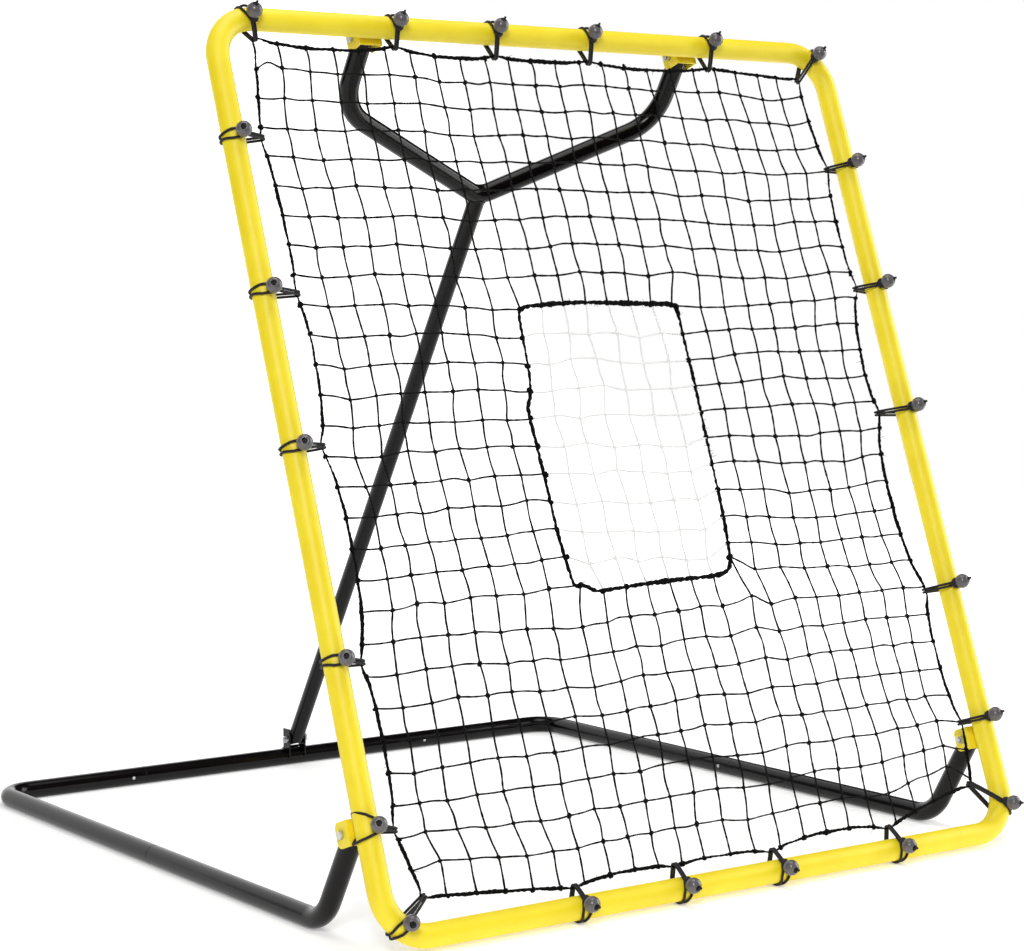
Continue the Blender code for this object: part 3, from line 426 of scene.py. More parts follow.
def moulded_grey():
    """One grey all over, with a fine grain in its bump."""
    finish, tree, shader = new_finish("grey_moulded_plastic")
    place = add(tree, "ShaderNodeTexCoord").outputs["Object"]
    grain = add(tree, "ShaderNodeTexNoise", {"Scale": 700.0, "Detail": 2.0}, {"Vector": place})
    relief = {"Strength": 0.05, "Distance": 0.0003}
    bump = add(tree, "ShaderNodeBump", relief, {"Height": grain.outputs["Fac"]})
    tree.links.new(bump.outputs["Normal"], shader.inputs["Normal"])
    shader.inputs["Base Color"].default_value = colour("#605C5F")
    shader.inputs["Roughness"].default_value = 0.27
    return finish


GREY_PLASTIC = moulded_grey()

# %% [markdown]
# The camera stands in front of the net and to its left, 2.6 m to the side and a metre up. Its place and
# turn were found by fitting the frame's bends to the photograph.

# %% Camera
CAMERA_AT = (-2.597, -3.0792 - MIDDLE, 0.9988)
YAW, PITCH, ROLL = 0.6147, -0.0777, -0.0055
FOCAL_LENGTH, SENSOR = 88.23, 36.0

camera = bpy.data.objects.new("camera", bpy.data.cameras.new("camera"))
bpy.context.scene.collection.objects.link(camera)
camera.location = CAMERA_AT
camera.data.sensor_width = SENSOR
camera.data.lens = FOCAL_LENGTH
camera.data.clip_end = 100.0
ahead = np.array([math.sin(YAW) * math.cos(PITCH), math.cos(YAW) * math.cos(PITCH), math.sin(PITCH)])
level = np.array([math.cos(YAW), -math.sin(YAW), 0.0])
upward = np.cross(level, ahead)
right = math.cos(ROLL) * level + math.sin(ROLL) * upward
top = -math.sin(ROLL) * level + math.cos(ROLL) * upward
camera.rotation_euler = Matrix(np.stack([right, top, -ahead], axis=1).tolist()).to_euler()
bpy.context.scene.camera = camera

# %% [markdown]
# The light is a studio's. Three broad soft boxes draw long soft highlights down the tubes, and the room
# behind them is dark, so that the black tubes stay black. The floor is a sheet of white paper that curves
# up behind the net.

# %% Studio


def soft_box(name, place, target, size, power):
    """A rectangle of light that faces a target."""
    light = bpy.data.lights.new(name, "AREA")
    light.shape, light.size, light.size_y, light.energy = "RECTANGLE", size[0], size[1], power
    box = bpy.data.objects.new(name, light)
    bpy.context.scene.collection.objects.link(box)
    box.location = place
    box.rotation_euler = (Vector(target) - Vector(place)).to_track_quat("-Z", "Y").to_euler()
    return box


CENTRE = (0.0, 0.0, 0.7)
soft_box("key_box", (-3.4, -4.6, 3.6), CENTRE, (1.5, 2.4), 200.0)
soft_box("right_box", (4.4, -1.4, 1.9), CENTRE, (3.4, 3.4), 160.0)
soft_box("top_box", (0.0, -0.4, 4.6), CENTRE, (3.0, 3.0), 90.0)

world = bpy.data.worlds.new("studio")
world.use_nodes = True
# The camera sees white past the paper's edges, and the tubes reflect a dark room.
seen = add(world.node_tree, "ShaderNodeLightPath").outputs["Is Camera Ray"]
glow = add(world.node_tree, "ShaderNodeMapRange", {"To Min": 0.04, "To Max": 1.0}, {"Value": seen})
background = world.node_tree.nodes["Background"]
background.inputs["Color"].default_value = colour("#FFFFFF")
world.node_tree.links.new(glow.outputs["Result"], background.inputs["Strength"])
bpy.context.scene.world = world
bpy.context.scene.view_settings.view_transform = "Standard"


def paper():
    """Matt white paper that glows more the further it lies from the net."""
    finish, tree, shader = new_finish("white_studio_paper")
    place = add(tree, "ShaderNodeTexCoord").outputs["Object"]
    fibre = add(tree, "ShaderNodeTexNoise", {"Scale": 60.0, "Detail": 4.0}, {"Vector": place})
    tint = add(tree, "ShaderNodeValToRGB", {}, {"Fac": fibre.outputs["Fac"]})
    tint.color_ramp.elements[0].color = colour("#FAFAFA")
    tint.color_ramp.elements[1].color = colour("#FEFEFE")
    tree.links.new(tint.outputs["Color"], shader.inputs["Base Color"])
    shader.inputs["Roughness"].default_value = 1.0
    shader.inputs["Specular IOR Level"].default_value = 0.0
    # The sheet glows like a lit backdrop, the more the further out, so that it stays white behind the net.
    away = add(tree, "ShaderNodeVectorMath", {"operation": "LENGTH"}, {"Vector": place}).outputs["Value"]
    growth = {"From Min": 1.0, "From Max": 4.2, "To Min": 0.28, "To Max": 1.0}
    glow = add(tree, "ShaderNodeMapRange", growth, {"Value": away})
    shader.inputs["Emission Color"].default_value = colour("#FFFFFF")
    tree.links.new(glow.outputs["Result"], shader.inputs["Emission Strength"])
    return finish


def paper_sweep():
    """Floor, a quarter round and a wall, pulled straight sideways: its two parameters are the way along
    the profile and the way across."""
    turn = np.linspace(0.0, math.pi / 2, 24)
    depth = np.concatenate([[-1.8], 6.0 + 3.0 * np.sin(turn), [9.0]])
    height = np.concatenate([[0.0], 3.0 - 3.0 * np.cos(turn), [12.0]])
    across = np.linspace(-6.0, 6.0, 9)
    grid = np.stack(np.broadcast_arrays(across[None], depth[:, None], height[:, None]), axis=-1)
    rows, columns = grid.shape[:2]
    corner = (np.arange(rows - 1)[:, None] * columns + np.arange(columns - 1)[None]).reshape(-1)
    quads = np.stack([corner, corner + 1, corner + columns + 1, corner + columns], axis=-1)
    uv = np.zeros((quads.size, 2))
    return grid.reshape(-1, 3), quads, np.empty((0, 3), int), uv


floor = make_piece("paper_sweep", paper_sweep(), paper())

# %% [markdown]
# The front frame is one loop of 38 mm tube with four bends. Twelve flat sides were enough to test it, and
# its real surface is the same path with a fine round ring. Bends get a ring every five degrees.

# %% Front frame
frame_corners = on_frame(
    [-FRAME_HALF, FRAME_HALF, FRAME_HALF, -FRAME_HALF],
    [0.0, 0.0, FRAME_TALL, FRAME_TALL],
)
frame_path = rounded(frame_corners, [FRAME_CORNER] * 4, closed=True)
frame_tube = make_piece(
    "front_frame_tube", carried(frame_path, FRAME_TUBE, 64, closed=True, normal=FRAME_NORMAL), YELLOW_COAT
)
stand_in(frame_tube, "front", "yellow_powder_coat", "front_frame")
print("front frame rings", len(frame_path))

# %% [markdown]
# Where a tube turns in a bracket, its end is rounded about the pivot so that it can pass the bracket's
# web. Each ring of such an end keeps its outline and is pushed along the tube by the height of a circle
# over the pivot, and smaller rings close it. The other ends are cut square and lightly rounded. They get
# rings close together there, so that the rounding's shading doesn't run down the tube.

# %% Base and strut tubes


def nose_rings(pivot, out, first, second, radius, tube, sides):
    """Rings over a pivot, from the wall inwards, pushed out to a circle of the nose's radius."""
    turn = np.arange(sides) * math.tau / sides
    share = np.array([1.0, 0.985, 0.94, 0.85, 0.65, 0.35])[:, None]
    level, tall = tube * share * np.cos(turn), tube * share * np.sin(turn)
    push = np.sqrt(np.clip(radius**2 - tall**2, 0.0, None)) - (1.0 - share) * 0.004
    return pivot + level[..., None] * first + tall[..., None] * second + push[..., None] * out


def square_rings(end, out, ring, tube, edge=0.0007):
    """Rings round a square end, from the wall inwards: a quarter circle of the edge's radius."""
    turn = np.radians([-160.0, -60.0, 0.0, 30.0, 60.0, 90.0])
    inward = edge * (1.0 - np.cos(np.clip(turn, 0.0, None)))
    along = np.where(turn < 0.0, turn * edge / 1.05, edge * np.sin(turn)) - edge
    shrunk = ring[None] * (tube - inward)[:, None, None]
    return end + shrunk + along[:, None, None] * out


def tube_surface(path, tube, normal, start_nose=None, end_nose=None, sides=48):
    """A round tube whose ends are rounded over a pivot, where a nose's radius is given, or else square."""
    along, first, second = directions(path, False, normal)
    turn = np.arange(sides) * math.tau / sides
    ring = first[:, None] * np.cos(turn)[None, :, None] + second[:, None] * np.sin(turn)[None, :, None]
    parts = []
    for end, nose in ((0, start_nose), (-1, end_nose)):
        out = along[end] * (1.0 if end else -1.0)
        if nose is None:
            parts.append(square_rings(path[end], out, ring[end], tube))
        else:
            parts.append(nose_rings(path[end], out, first[end], second[end], nose, tube, sides))
    grid = np.concatenate([parts[0][::-1], (path[:, None] + ring * tube)[1:-1], parts[1]])
    middle = grid.mean(axis=1)
    lengths = np.concatenate([[0.0], np.cumsum(np.linalg.norm(np.diff(middle, axis=0), axis=1))])
    return grid_surface(grid, lengths)


def straight_steps(path, longest=0.05):
    """Adds points to long straight runs, so that a ring stands at least every longest metres."""
    counts = np.maximum(1, np.ceil(np.linalg.norm(np.diff(path, axis=0), axis=1) / longest).astype(int))
    runs = [
        path[i] + (path[i + 1] - path[i]) * np.linspace(0, 1, count, endpoint=False)[:, None]
        for i, count in enumerate(counts)
    ]
    return np.concatenate([*runs, path[-1:]])


def on_base(across, back, up):
    """A place on the base, measured back from the front frame's bottom tube."""
    return np.array([across, back - MIDDLE, up], float)


UP = np.array([0.0, 0.0, 1.0])
side_pivot = on_frame(FRAME_HALF, *SIDE_PIVOT)
SIDE_BACK, SIDE_UP = side_pivot[1] + MIDDLE, side_pivot[2]
BEND_BACK = SIDE_BACK + (SIDE_UP - BASE_TUBE) / math.tan(RISER)
SIDE_NOSE = SIDE_PIVOT[1] - FRAME_TUBE - (GAP + SHEET + NOSE_ROOM)

for side, sign in (("left", -1.0), ("right", 1.0)):
    x = sign * FRAME_HALF
    route = [
        on_base(x, SIDE_BACK, SIDE_UP),
        on_base(x, BEND_BACK, BASE_TUBE),
        on_base(x, ARM_SEAM, BASE_TUBE),
    ]
    path = straight_steps(rounded(route, [0.0, FRONT_BEND, 0.0]))
    surface = tube_surface(path, BASE_TUBE, RIGHT, start_nose=SIDE_NOSE)
    arm = make_piece(f"{side}_arm_tube", surface, BLACK_COAT)
    stand_in(arm, "base", "black_powder_coat", f"base_{side}_arm")
    rear_x = sign * (REAR_SEAM + (GAP if sign < 0 else 0.0))
    route = [
        on_base(x, ARM_SEAM + GAP, BASE_TUBE),
        on_base(x, REAR_BAR, BASE_TUBE),
        on_base(rear_x, REAR_BAR, BASE_TUBE),
    ]
    path = straight_steps(rounded(route, [0.0, REAR_CORNER, 0.0]))
    elbow = make_piece(f"{side}_elbow_tube", tube_surface(path, BASE_TUBE, UP), BLACK_COAT)
    stand_in(elbow, "base", "black_powder_coat", f"base_{side}_elbow")

bar_ends = (-REAR_SEAM, REAR_SEAM - GAP)
path = np.array([on_base(across, REAR_BAR, BASE_TUBE) for across in bar_ends])
bar = make_piece("rear_bar_tube", tube_surface(straight_steps(path), BASE_TUBE, UP), BLACK_COAT)
stand_in(bar, "base", "black_powder_coat", "base_rear_bar")
print("base sections", 5)

# %% [markdown]
# The strut is a fork of one bent tube with a thinner leg welded under its middle. It is laid out in its
# own plane, which tips down from the top pivots to the foot. The leg's end is slotted, so that it can be
# unhooked from the foot's bolt for folding. A boolean cuts the slot, because only a cut leaves clean
# walls.

# %% Strut
TOP = on_frame(0.0, *TOP_PIVOT)
FOOT = on_base(0.0, *FOOT_PIVOT)
STRUT_DOWN = unit(FOOT - TOP)
STRUT_NORMAL = np.cross(RIGHT, STRUT_DOWN)


def on_strut(across, down, out=0.0):
    """A place in the strut's own plane, measured from between the top pivots."""
    return TOP + across * RIGHT + down * STRUT_DOWN + out * STRUT_NORMAL


fork_route = [
    on_strut(-FORK_HALF, 0.0),
    on_strut(-FORK_HALF, FORK_STRAIGHT),
    on_strut(0.0, FORK_DEPTH),
    on_strut(FORK_HALF, FORK_STRAIGHT),
    on_strut(FORK_HALF, 0.0),
]
FORK_SIDE_BEND, FORK_MIDDLE_BEND, FORK_NOSE = 0.090, 0.050, 0.0160
fork_bends = [0.0, FORK_SIDE_BEND, FORK_MIDDLE_BEND, FORK_SIDE_BEND, 0.0]
fork_path = straight_steps(rounded(fork_route, fork_bends), 0.02)


def cut_away(piece, surface, finish):
    """Takes a closed surface away from a piece for good, with Blender's exact boolean."""
    tool = make_piece("cutter", surface, finish)
    cut = piece.modifiers.new("cut", "BOOLEAN")
    cut.operation, cut.solver, cut.object = "DIFFERENCE", "EXACT", tool
    done = bpy.data.meshes.new_from_object(piece.evaluated_get(bpy.context.evaluated_depsgraph_get()))
    piece.modifiers.remove(cut)
    piece.data = done
    piece.data.set_sharp_from_angle(angle=math.radians(50.0))
    bpy.data.objects.remove(tool)


surface = tube_surface(fork_path, FORK_TUBE, STRUT_NORMAL, start_nose=FORK_NOSE, end_nose=FORK_NOSE)
fork = make_piece("fork_tube", surface, BLACK_COAT)
stand_in(fork, "strut", "black_powder_coat", "strut_fork")

INTO_FORK, LEG_NOSE = 0.010, 0.0120
leg_path = straight_steps(np.array([on_strut(0.0, FORK_DEPTH - INTO_FORK), FOOT]))
leg = make_piece("leg_tube", tube_surface(leg_path, LEG_TUBE, RIGHT, end_nose=LEG_NOSE), BLACK_COAT)

# The slot is open to the rear and rises that way. Its closed end is round about the foot's bolt.
SLOT_RISE, SLOT_HALF, SLOT_LONG = math.radians(28.0), 0.0043, 0.04
slot_way = np.array([0.0, math.cos(SLOT_RISE), math.sin(SLOT_RISE)])
slot_up = np.cross(RIGHT, slot_way)
turn = np.radians(np.linspace(90.0, 270.0, 17))
rounded_end = np.stack([SLOT_HALF * np.cos(turn), SLOT_HALF * np.sin(turn)], axis=1)
outline = np.concatenate([rounded_end, [[SLOT_LONG, -SLOT_HALF], [SLOT_LONG, SLOT_HALF]]])
sides_of_leg = np.stack([FOOT + RIGHT * side for side in (-0.03, 0.03)])
slot_grid = sides_of_leg[:, None] + outline[None, :, :1] * slot_way + outline[None, :, 1:] * slot_up
cut_away(leg, grid_surface(slot_grid, np.array([0.0, 0.06])), BLACK_COAT)
stand_in(leg, "strut", "black_powder_coat", "strut_leg")

# %% [markdown]
# A weld bead runs where the leg meets the fork. Its line is found on a grid: for each way round the leg,
# the first place down it that is further than the fork's radius from the fork's own middle line.

# %% Weld bead
BEAD, RIPPLE, BEAD_STEP, BEAD_WAYS = 0.0017, 0.00035, 0.0009, 72
turn = np.arange(BEAD_WAYS) * math.tau / BEAD_WAYS
down = np.linspace(FORK_DEPTH - 0.012, FORK_DEPTH + 0.045, 240)
around = RIGHT * np.cos(turn)[:, None] + STRUT_NORMAL * np.sin(turn)[:, None]
spots = on_strut(0.0, 0.0) + LEG_TUBE * around[:, None] + down[None, :, None] * STRUT_DOWN
near = spread_out(fork_path, 0.002)
near = near[np.abs(near[:, 0]) < 0.06]
gap = np.linalg.norm(spots[:, :, None] - near[None, None], axis=-1).min(axis=-1)
first_free = np.argmax(gap > FORK_TUBE, axis=1)
line = spread_out(spots[np.arange(BEAD_WAYS), first_free], BEAD_STEP, closed=True)
ripples = BEAD + RIPPLE * np.sin(np.arange(len(line)) * 2.1)
bead = make_piece("fork_weld_bead", carried(line, ripples, 10, closed=True), BLACK_COAT)
stand_in(bead, "strut", "black_powder_coat")
print("weld bead", round(len(line) * BEAD_STEP * 1000), "mm long")

# %% [markdown]
# The brackets are folded from 3 mm sheet. Their solids already have the right outline, holes and slots,
# so a copy is cleaned of its loose triangles and only its edges are softened, because a sharp edge never
# catches the light and looks false.

# %% Brackets


def softened(node, name, finish, width=0.0007):
    """A merged copy of a node with a small round on every edge."""
    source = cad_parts[node]
    mesh = source.data.copy()
    mesh.transform(source.matrix_world)
    bm = bmesh.new()
    bm.from_mesh(mesh)
    bmesh.ops.remove_doubles(bm, verts=bm.verts, dist=2e-5)
    bmesh.ops.dissolve_limit(bm, angle_limit=math.radians(1.0), verts=bm.verts, edges=bm.edges)
    bm.to_mesh(mesh)
    bm.free()
    mesh.name = name
    mesh.materials.clear()
    mesh.materials.append(finish)
    mesh.shade_smooth()
    mesh.set_sharp_from_angle(angle=math.radians(35.0))
    piece = bpy.data.objects.new(name, mesh)
    bpy.context.scene.collection.objects.link(piece)
    bevel = piece.modifiers.new("soft_edges", "BEVEL")
    bevel.width, bevel.segments, bevel.limit_method = width, 2, "ANGLE"
    bevel.angle_limit = math.radians(35.0)
    return piece


for node in ("left_side_bracket", "right_side_bracket", "left_top_bracket", "right_top_bracket"):
    stand_in(softened(node, f"{node}_sheet", YELLOW_COAT), "front", "yellow_powder_coat", node)
foot_bracket = softened("foot_bracket", "foot_bracket_sheet", BLACK_COAT)
stand_in(foot_bracket, "base", "black_powder_coat", "foot_bracket")

# %% [markdown]
# A bolt's head is a hexagon whose corners were turned off on a lathe. Its radius in a direction is the
# smaller of two: the hexagon's, and a cone's that cuts the corners near the top.

# %% Bolts, nuts and snap buttons
BOLT, HEAD, HEAD_TALL, NUT_TALL, TIP = 0.0040, 0.0075, 0.0053, 0.0068, 0.003


def basis(axis):
    """Two directions square to an axis and to each other."""
    helper = np.array([0.0, 0.0, 1.0]) if abs(axis[2]) < 0.9 else np.array([0.0, 1.0, 0.0])
    first = unit(np.cross(helper, axis))
    return first, np.cross(axis, first)


def turned_rings(origin, axis, heights, radii, sides, hexagon=None):
    """A profile turned about an axis. With a hexagon, each ring is cut to it: its radius is at most the
    hexagon's flat distance over the cosine of the angle from the nearest flat."""
    first, second = basis(axis)
    turn = np.arange(sides) * math.tau / sides
    radius = np.repeat(np.asarray(radii, float)[:, None], sides, axis=1)
    if hexagon is not None:
        flat = hexagon * math.cos(math.pi / 6)
        within = (turn % (math.pi / 3)) - math.pi / 6
        radius = np.minimum(radius, flat / np.cos(within)[None])
    ring = np.cos(turn)[:, None] * first + np.sin(turn)[:, None] * second
    return origin + np.asarray(heights, float)[:, None, None] * axis + radius[..., None] * ring


def lathe(origin, axis, heights, radii, sides, hexagon=None):
    """A turned profile with closed ends."""
    rings = turned_rings(origin, axis, heights, radii, sides, hexagon)
    return grid_surface(rings, np.linspace(0.0, 0.01, len(heights)))


def bolt_surface(middle, outward, half_grip):
    """Head, washer face and shank, with the tip chamfered."""
    axis = np.array([outward, 0.0, 0.0])
    start = half_grip + GAP
    heights = start + HEAD_TALL * np.array([0, 0, 0.12, 0.78, 0.93, 1.0, 1.0])
    radii = [0.0045, 0.0066, HEAD, HEAD, HEAD * 0.955, HEAD * 0.86, HEAD * 0.40]
    head = lathe(middle, axis, heights, radii, sides=60, hexagon=HEAD)
    end = -(half_grip + GAP + NUT_TALL + TIP)
    along = [end, end + 0.0008, start + 0.0004]
    shank = lathe(middle, axis, along, [BOLT - 0.0009, BOLT, BOLT], sides=32)
    return gathered([head, shank])


def nut_surface(middle, outward, half_grip):
    """A hexagon with a bore: the profile runs up the outside, over the rim and down the hole."""
    axis = np.array([-outward, 0.0, 0.0])
    heights = half_grip + GAP + NUT_TALL * np.array([0.0, 0.0, 0.10, 0.90, 1.0, 1.0, 0.9, 0.1])
    radii = [0.0046, 0.0066, HEAD, HEAD, 0.0066, 0.0050, 0.0044, 0.0044]
    rings = turned_rings(middle, axis, heights, radii, sides=60, hexagon=HEAD)
    return grid_surface(rings, np.linspace(0, 0.02, len(heights)), closed=True)


HALF_BRACKET = FRAME_TUBE + GAP + SHEET
fasteners = [
    ("left_side_pivot", "front", on_frame(-FRAME_HALF, *SIDE_PIVOT), -1.0, HALF_BRACKET),
    ("right_side_pivot", "front", on_frame(FRAME_HALF, *SIDE_PIVOT), 1.0, HALF_BRACKET),
    ("left_top_pivot", "front", on_frame(-FORK_HALF, *TOP_PIVOT), -1.0, HALF_BRACKET),
    ("right_top_pivot", "front", on_frame(FORK_HALF, *TOP_PIVOT), 1.0, HALF_BRACKET),
    ("foot", "base", FOOT, 1.0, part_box("foot_bracket")[1][0]),
]
for name, body, middle, outward, half_grip in fasteners:
    surface = bolt_surface(middle, outward, half_grip)
    made = make_piece(f"{name}_hex_bolt", surface, ZINC, smooth=25.0)
    stand_in(made, body, "zinc_plated_steel", f"{name}_bolt")
    surface = nut_surface(middle, outward, half_grip)
    made = make_piece(f"{name}_hex_nut", surface, ZINC, smooth=25.0)
    stand_in(made, body, "zinc_plated_steel", f"{name}_nut")

BUTTON, BUTTON_SEAT, BUTTON_TOP = 0.0034, 0.0091, BASE_TUBE + 0.0022
TO_THE_FRONT = np.array([0.0, -1.0, 0.0])
buttons = [
    ("left_arm", on_base(-FRAME_HALF, ARM_SEAM + BUTTON_SETBACK, BASE_TUBE), RIGHT),
    ("right_arm", on_base(FRAME_HALF, ARM_SEAM + BUTTON_SETBACK, BASE_TUBE), -RIGHT),
    ("left_rear", on_base(-REAR_SEAM - BUTTON_SETBACK, REAR_BAR, BASE_TUBE), TO_THE_FRONT),
    ("right_rear", on_base(REAR_SEAM - BUTTON_SETBACK, REAR_BAR, BASE_TUBE), TO_THE_FRONT),
]
for name, middle, axis in buttons:
    dome = np.linspace(0.0, math.pi / 2, 7)
    heights = np.concatenate([[BUTTON_SEAT], BUTTON_TOP - BUTTON * 0.6 * (1 - np.sin(dome))])
    radii = np.concatenate([[BUTTON], BUTTON * np.maximum(np.cos(dome), 0.02)])
    surface = lathe(middle, axis, heights, radii, sides=32)
    made = make_piece(f"{name}_sprung_button", surface, ZINC, smooth=40.0)
    stand_in(made, "base", "zinc_plated_steel", f"{name}_snap_button")

# %% [markdown]
# The net hangs inside a rope, and the rope hangs in the loops of the bungees. Between two bungees the
# net pulls the rope inwards in a shallow curve. So the bungees come first, clockwise from the top left:
# where each ball sits on its tube, where its loop holds the rope, and how far the rope then sags inwards
# before the next loop.

# %% Where the bungees hold the rope
LOOPS = [
    ("top_left", math.radians(100.0), (-0.577, 1.453), 0.0125),
    ("top_1", -0.309, (-0.308, 1.452), 0.0105),
    ("top_2", -0.106, (-0.106, 1.445), 0.0055),
    ("top_3", 0.096, (0.096, 1.445), 0.0100),
    ("top_4", 0.371, (0.369, 1.445), 0.0010),
    ("top_right", math.radians(54.0), (0.584, 1.431), 0.0074),
    ("right_1", 1.258, (0.603, 1.252), 0.0107),
    ("right_2", 1.018, (0.603, 1.016), 0.0187),
    ("right_3", 0.779, (0.583, 0.776), 0.0270),
    ("right_4", 0.445, (0.592, 0.441), 0.0155),
    ("right_5", 0.200, (0.599, 0.198), -0.0030),
    ("bottom_right", math.radians(-27.0), (0.585, 0.087), 0.0050),
    ("bottom_4", 0.375, (0.371, 0.037), 0.0140),
    ("bottom_3", 0.108, (0.108, 0.033), 0.0065),
    ("bottom_2", -0.098, (-0.098, 0.037), 0.0080),
    ("bottom_1", -0.300, (-0.300, 0.032), 0.0015),
    ("bottom_left", math.radians(226.0), (-0.577, 0.057), 0.0010),
    ("left_5", 0.171, (-0.605, 0.163), 0.0114),
    ("left_4", 0.425, (-0.604, 0.421), 0.0210),
    ("left_3", 0.763, (-0.599, 0.765), 0.0137),
    ("left_2", 1.018, (-0.591, 1.016), 0.0073),
    ("left_1", 1.278, (-0.600, 1.279), 0.0005),
]


def on_tube(name, at):
    """Where a ball sits on the frame's middle line, from its place along a side or its turn round a
    bend."""
    if name.startswith("top_") and name[4:].isdigit():
        return np.array([at, FRAME_TALL])
    if name.startswith("bottom_") and name[7:].isdigit():
        return np.array([at, 0.0])
    side = 1.0 if "right" in name else -1.0
    if name[-1].isdigit():
        return np.array([side * FRAME_HALF, at])
    bend_up = FRAME_TALL - FRAME_CORNER if "top" in name else FRAME_CORNER
    bend = np.array([side * (FRAME_HALF - FRAME_CORNER), bend_up])
    return bend + FRAME_CORNER * np.array([math.cos(at), math.sin(at)])


held = np.array([rope for _, _, rope, _ in LOOPS])
sag = np.array([drop for *_, drop in LOOPS])
step = np.roll(held, -1, 0) - held
inward = unit(np.stack([step[:, 1], -step[:, 0]], axis=1))  # clockwise, so the net is on the right
share = np.linspace(0.0, 1.0, 9)[:-1][None, :, None]
hump = (1.0 - np.abs(2.0 * share - 1.0) ** 2.6) * sag[:, None, None]
rope_outline = (held[:, None] + step[:, None] * share + inward[:, None] * hump).reshape(-1, 2)
print("rope outline points", len(rope_outline), "round", len(LOOPS), "loops")

# %% [markdown]
# The strike zone is a second rope, tied into the black net round a window of white net. Its corners are
# soft and its left side is pulled out by the net. The window is seven meshes wide and ten tall.

# %% Strike zone's rope
ZONE = np.array([
    (-0.166, 0.984), (-0.150, 0.990), (-0.110, 0.993), (-0.040, 0.996), (0.040, 0.994), (0.110, 0.992),
    (0.156, 0.990), (0.167, 0.980), (0.168, 0.920), (0.169, 0.850), (0.168, 0.780), (0.167, 0.700),
    (0.166, 0.620), (0.162, 0.560), (0.156, 0.522), (0.140, 0.508), (0.110, 0.504), (0.040, 0.503),
    (-0.040, 0.501), (-0.120, 0.497), (-0.140, 0.499), (-0.158, 0.508), (-0.176, 0.510), (-0.182, 0.540),
    (-0.188, 0.600), (-0.190, 0.680), (-0.193, 0.760), (-0.194, 0.810), (-0.184, 0.835), (-0.177, 0.870),
    (-0.174, 0.930), (-0.172, 0.972),
])

# %% [markdown]
# The net's knots lie on a grid of about 50 mm. Its lines end on the ropes, so the ropes' shapes pull the
# grid with them, less and less further away. The rest of its unevenness is a slow drift that neighbours
# share and a small slip of each knot.

# %% The net's knots
COLUMNS, ROWS = 23, 28
ZONE_LEFT, ZONE_RIGHT, ZONE_TOP, ZONE_BOTTOM = 8, 15, 9, 19
ROPE_ABOVE, ROPE_BELOW, ROPE_LEFT, ROPE_RIGHT, ROPE_BEND = 0.982, 0.512, -0.168, 0.160, 0.002
DRIFT, SLIP = 0.0036, 0.0014
chance = np.random.default_rng(20)


def crossing(outline, level, axis, side):
    """Where a closed outline crosses a level line, at the side asked for."""
    start, end = outline, np.roll(outline, -1, 0)
    other = 1 - axis
    low, high = start[:, axis], end[:, axis]
    hit = ((low - level) * (high - level) <= 0.0) & (low != high)
    share = (level - low[hit]) / (high[hit] - low[hit])
    found = start[hit, other] + (end[hit, other] - start[hit, other]) * share
    return found.min() if side < 0 else found.max()


def smooth_drift(coarse, rows, columns):
    """Coarse random values blended smoothly over the grid, with a cosine between neighbours."""
    row, column = np.floor(rows).astype(int), np.floor(columns).astype(int)
    down = (0.5 - 0.5 * np.cos(math.pi * (rows - row)))[:, None, None]
    over = (0.5 - 0.5 * np.cos(math.pi * (columns - column)))[None, :, None]
    a, b = coarse[row][:, column], coarse[row][:, column + 1]
    c, d = coarse[row + 1][:, column], coarse[row + 1][:, column + 1]
    return (a * (1 - over) + b * over) * (1 - down) + (c * (1 - over) + d * over) * down


across = np.concatenate([[-0.593], np.linspace(-0.5415, 0.5400, 22), [0.592]])
height = np.concatenate([[1.444], np.linspace(1.3985, 0.0985, 27), [0.043]])
knots = np.stack(np.broadcast_arrays(across[None, :], height[:, None]), axis=-1)
drift = chance.normal(0.0, 1.0, (8, 7, 2))
drift_rows, drift_columns = np.linspace(0.0, 6.999, ROWS + 1), np.linspace(0.0, 5.999, COLUMNS + 1)
knots = knots + DRIFT * smooth_drift(drift, drift_rows, drift_columns)
knots += chance.normal(0.0, SLIP, knots.shape)
reach = np.exp(-np.arange(COLUMNS + 1) / 4.0)
for row in range(1, ROWS):
    left, right = (crossing(rope_outline, height[row], 1, side) for side in (-1, 1))
    knots[row, :, 0] += (left - across[0]) * reach + (right - across[-1]) * reach[::-1]
    knots[row, 0], knots[row, -1] = (left, height[row]), (right, height[row])
reach = np.exp(-np.arange(ROWS + 1) / 3.0)
for column in range(1, COLUMNS):
    # Each line meets the rope straight on, above or below its own outermost knot.
    places = knots[1, column, 0], knots[-2, column, 0]
    upper, lower = (crossing(rope_outline, at, 0, side) for at, side in zip(places, (1, -1)))
    knots[:, column, 1] += (upper - height[0]) * reach + (lower - height[-1]) * reach[::-1]
    knots[0, column], knots[-1, column] = (places[0], upper), (places[1], lower)

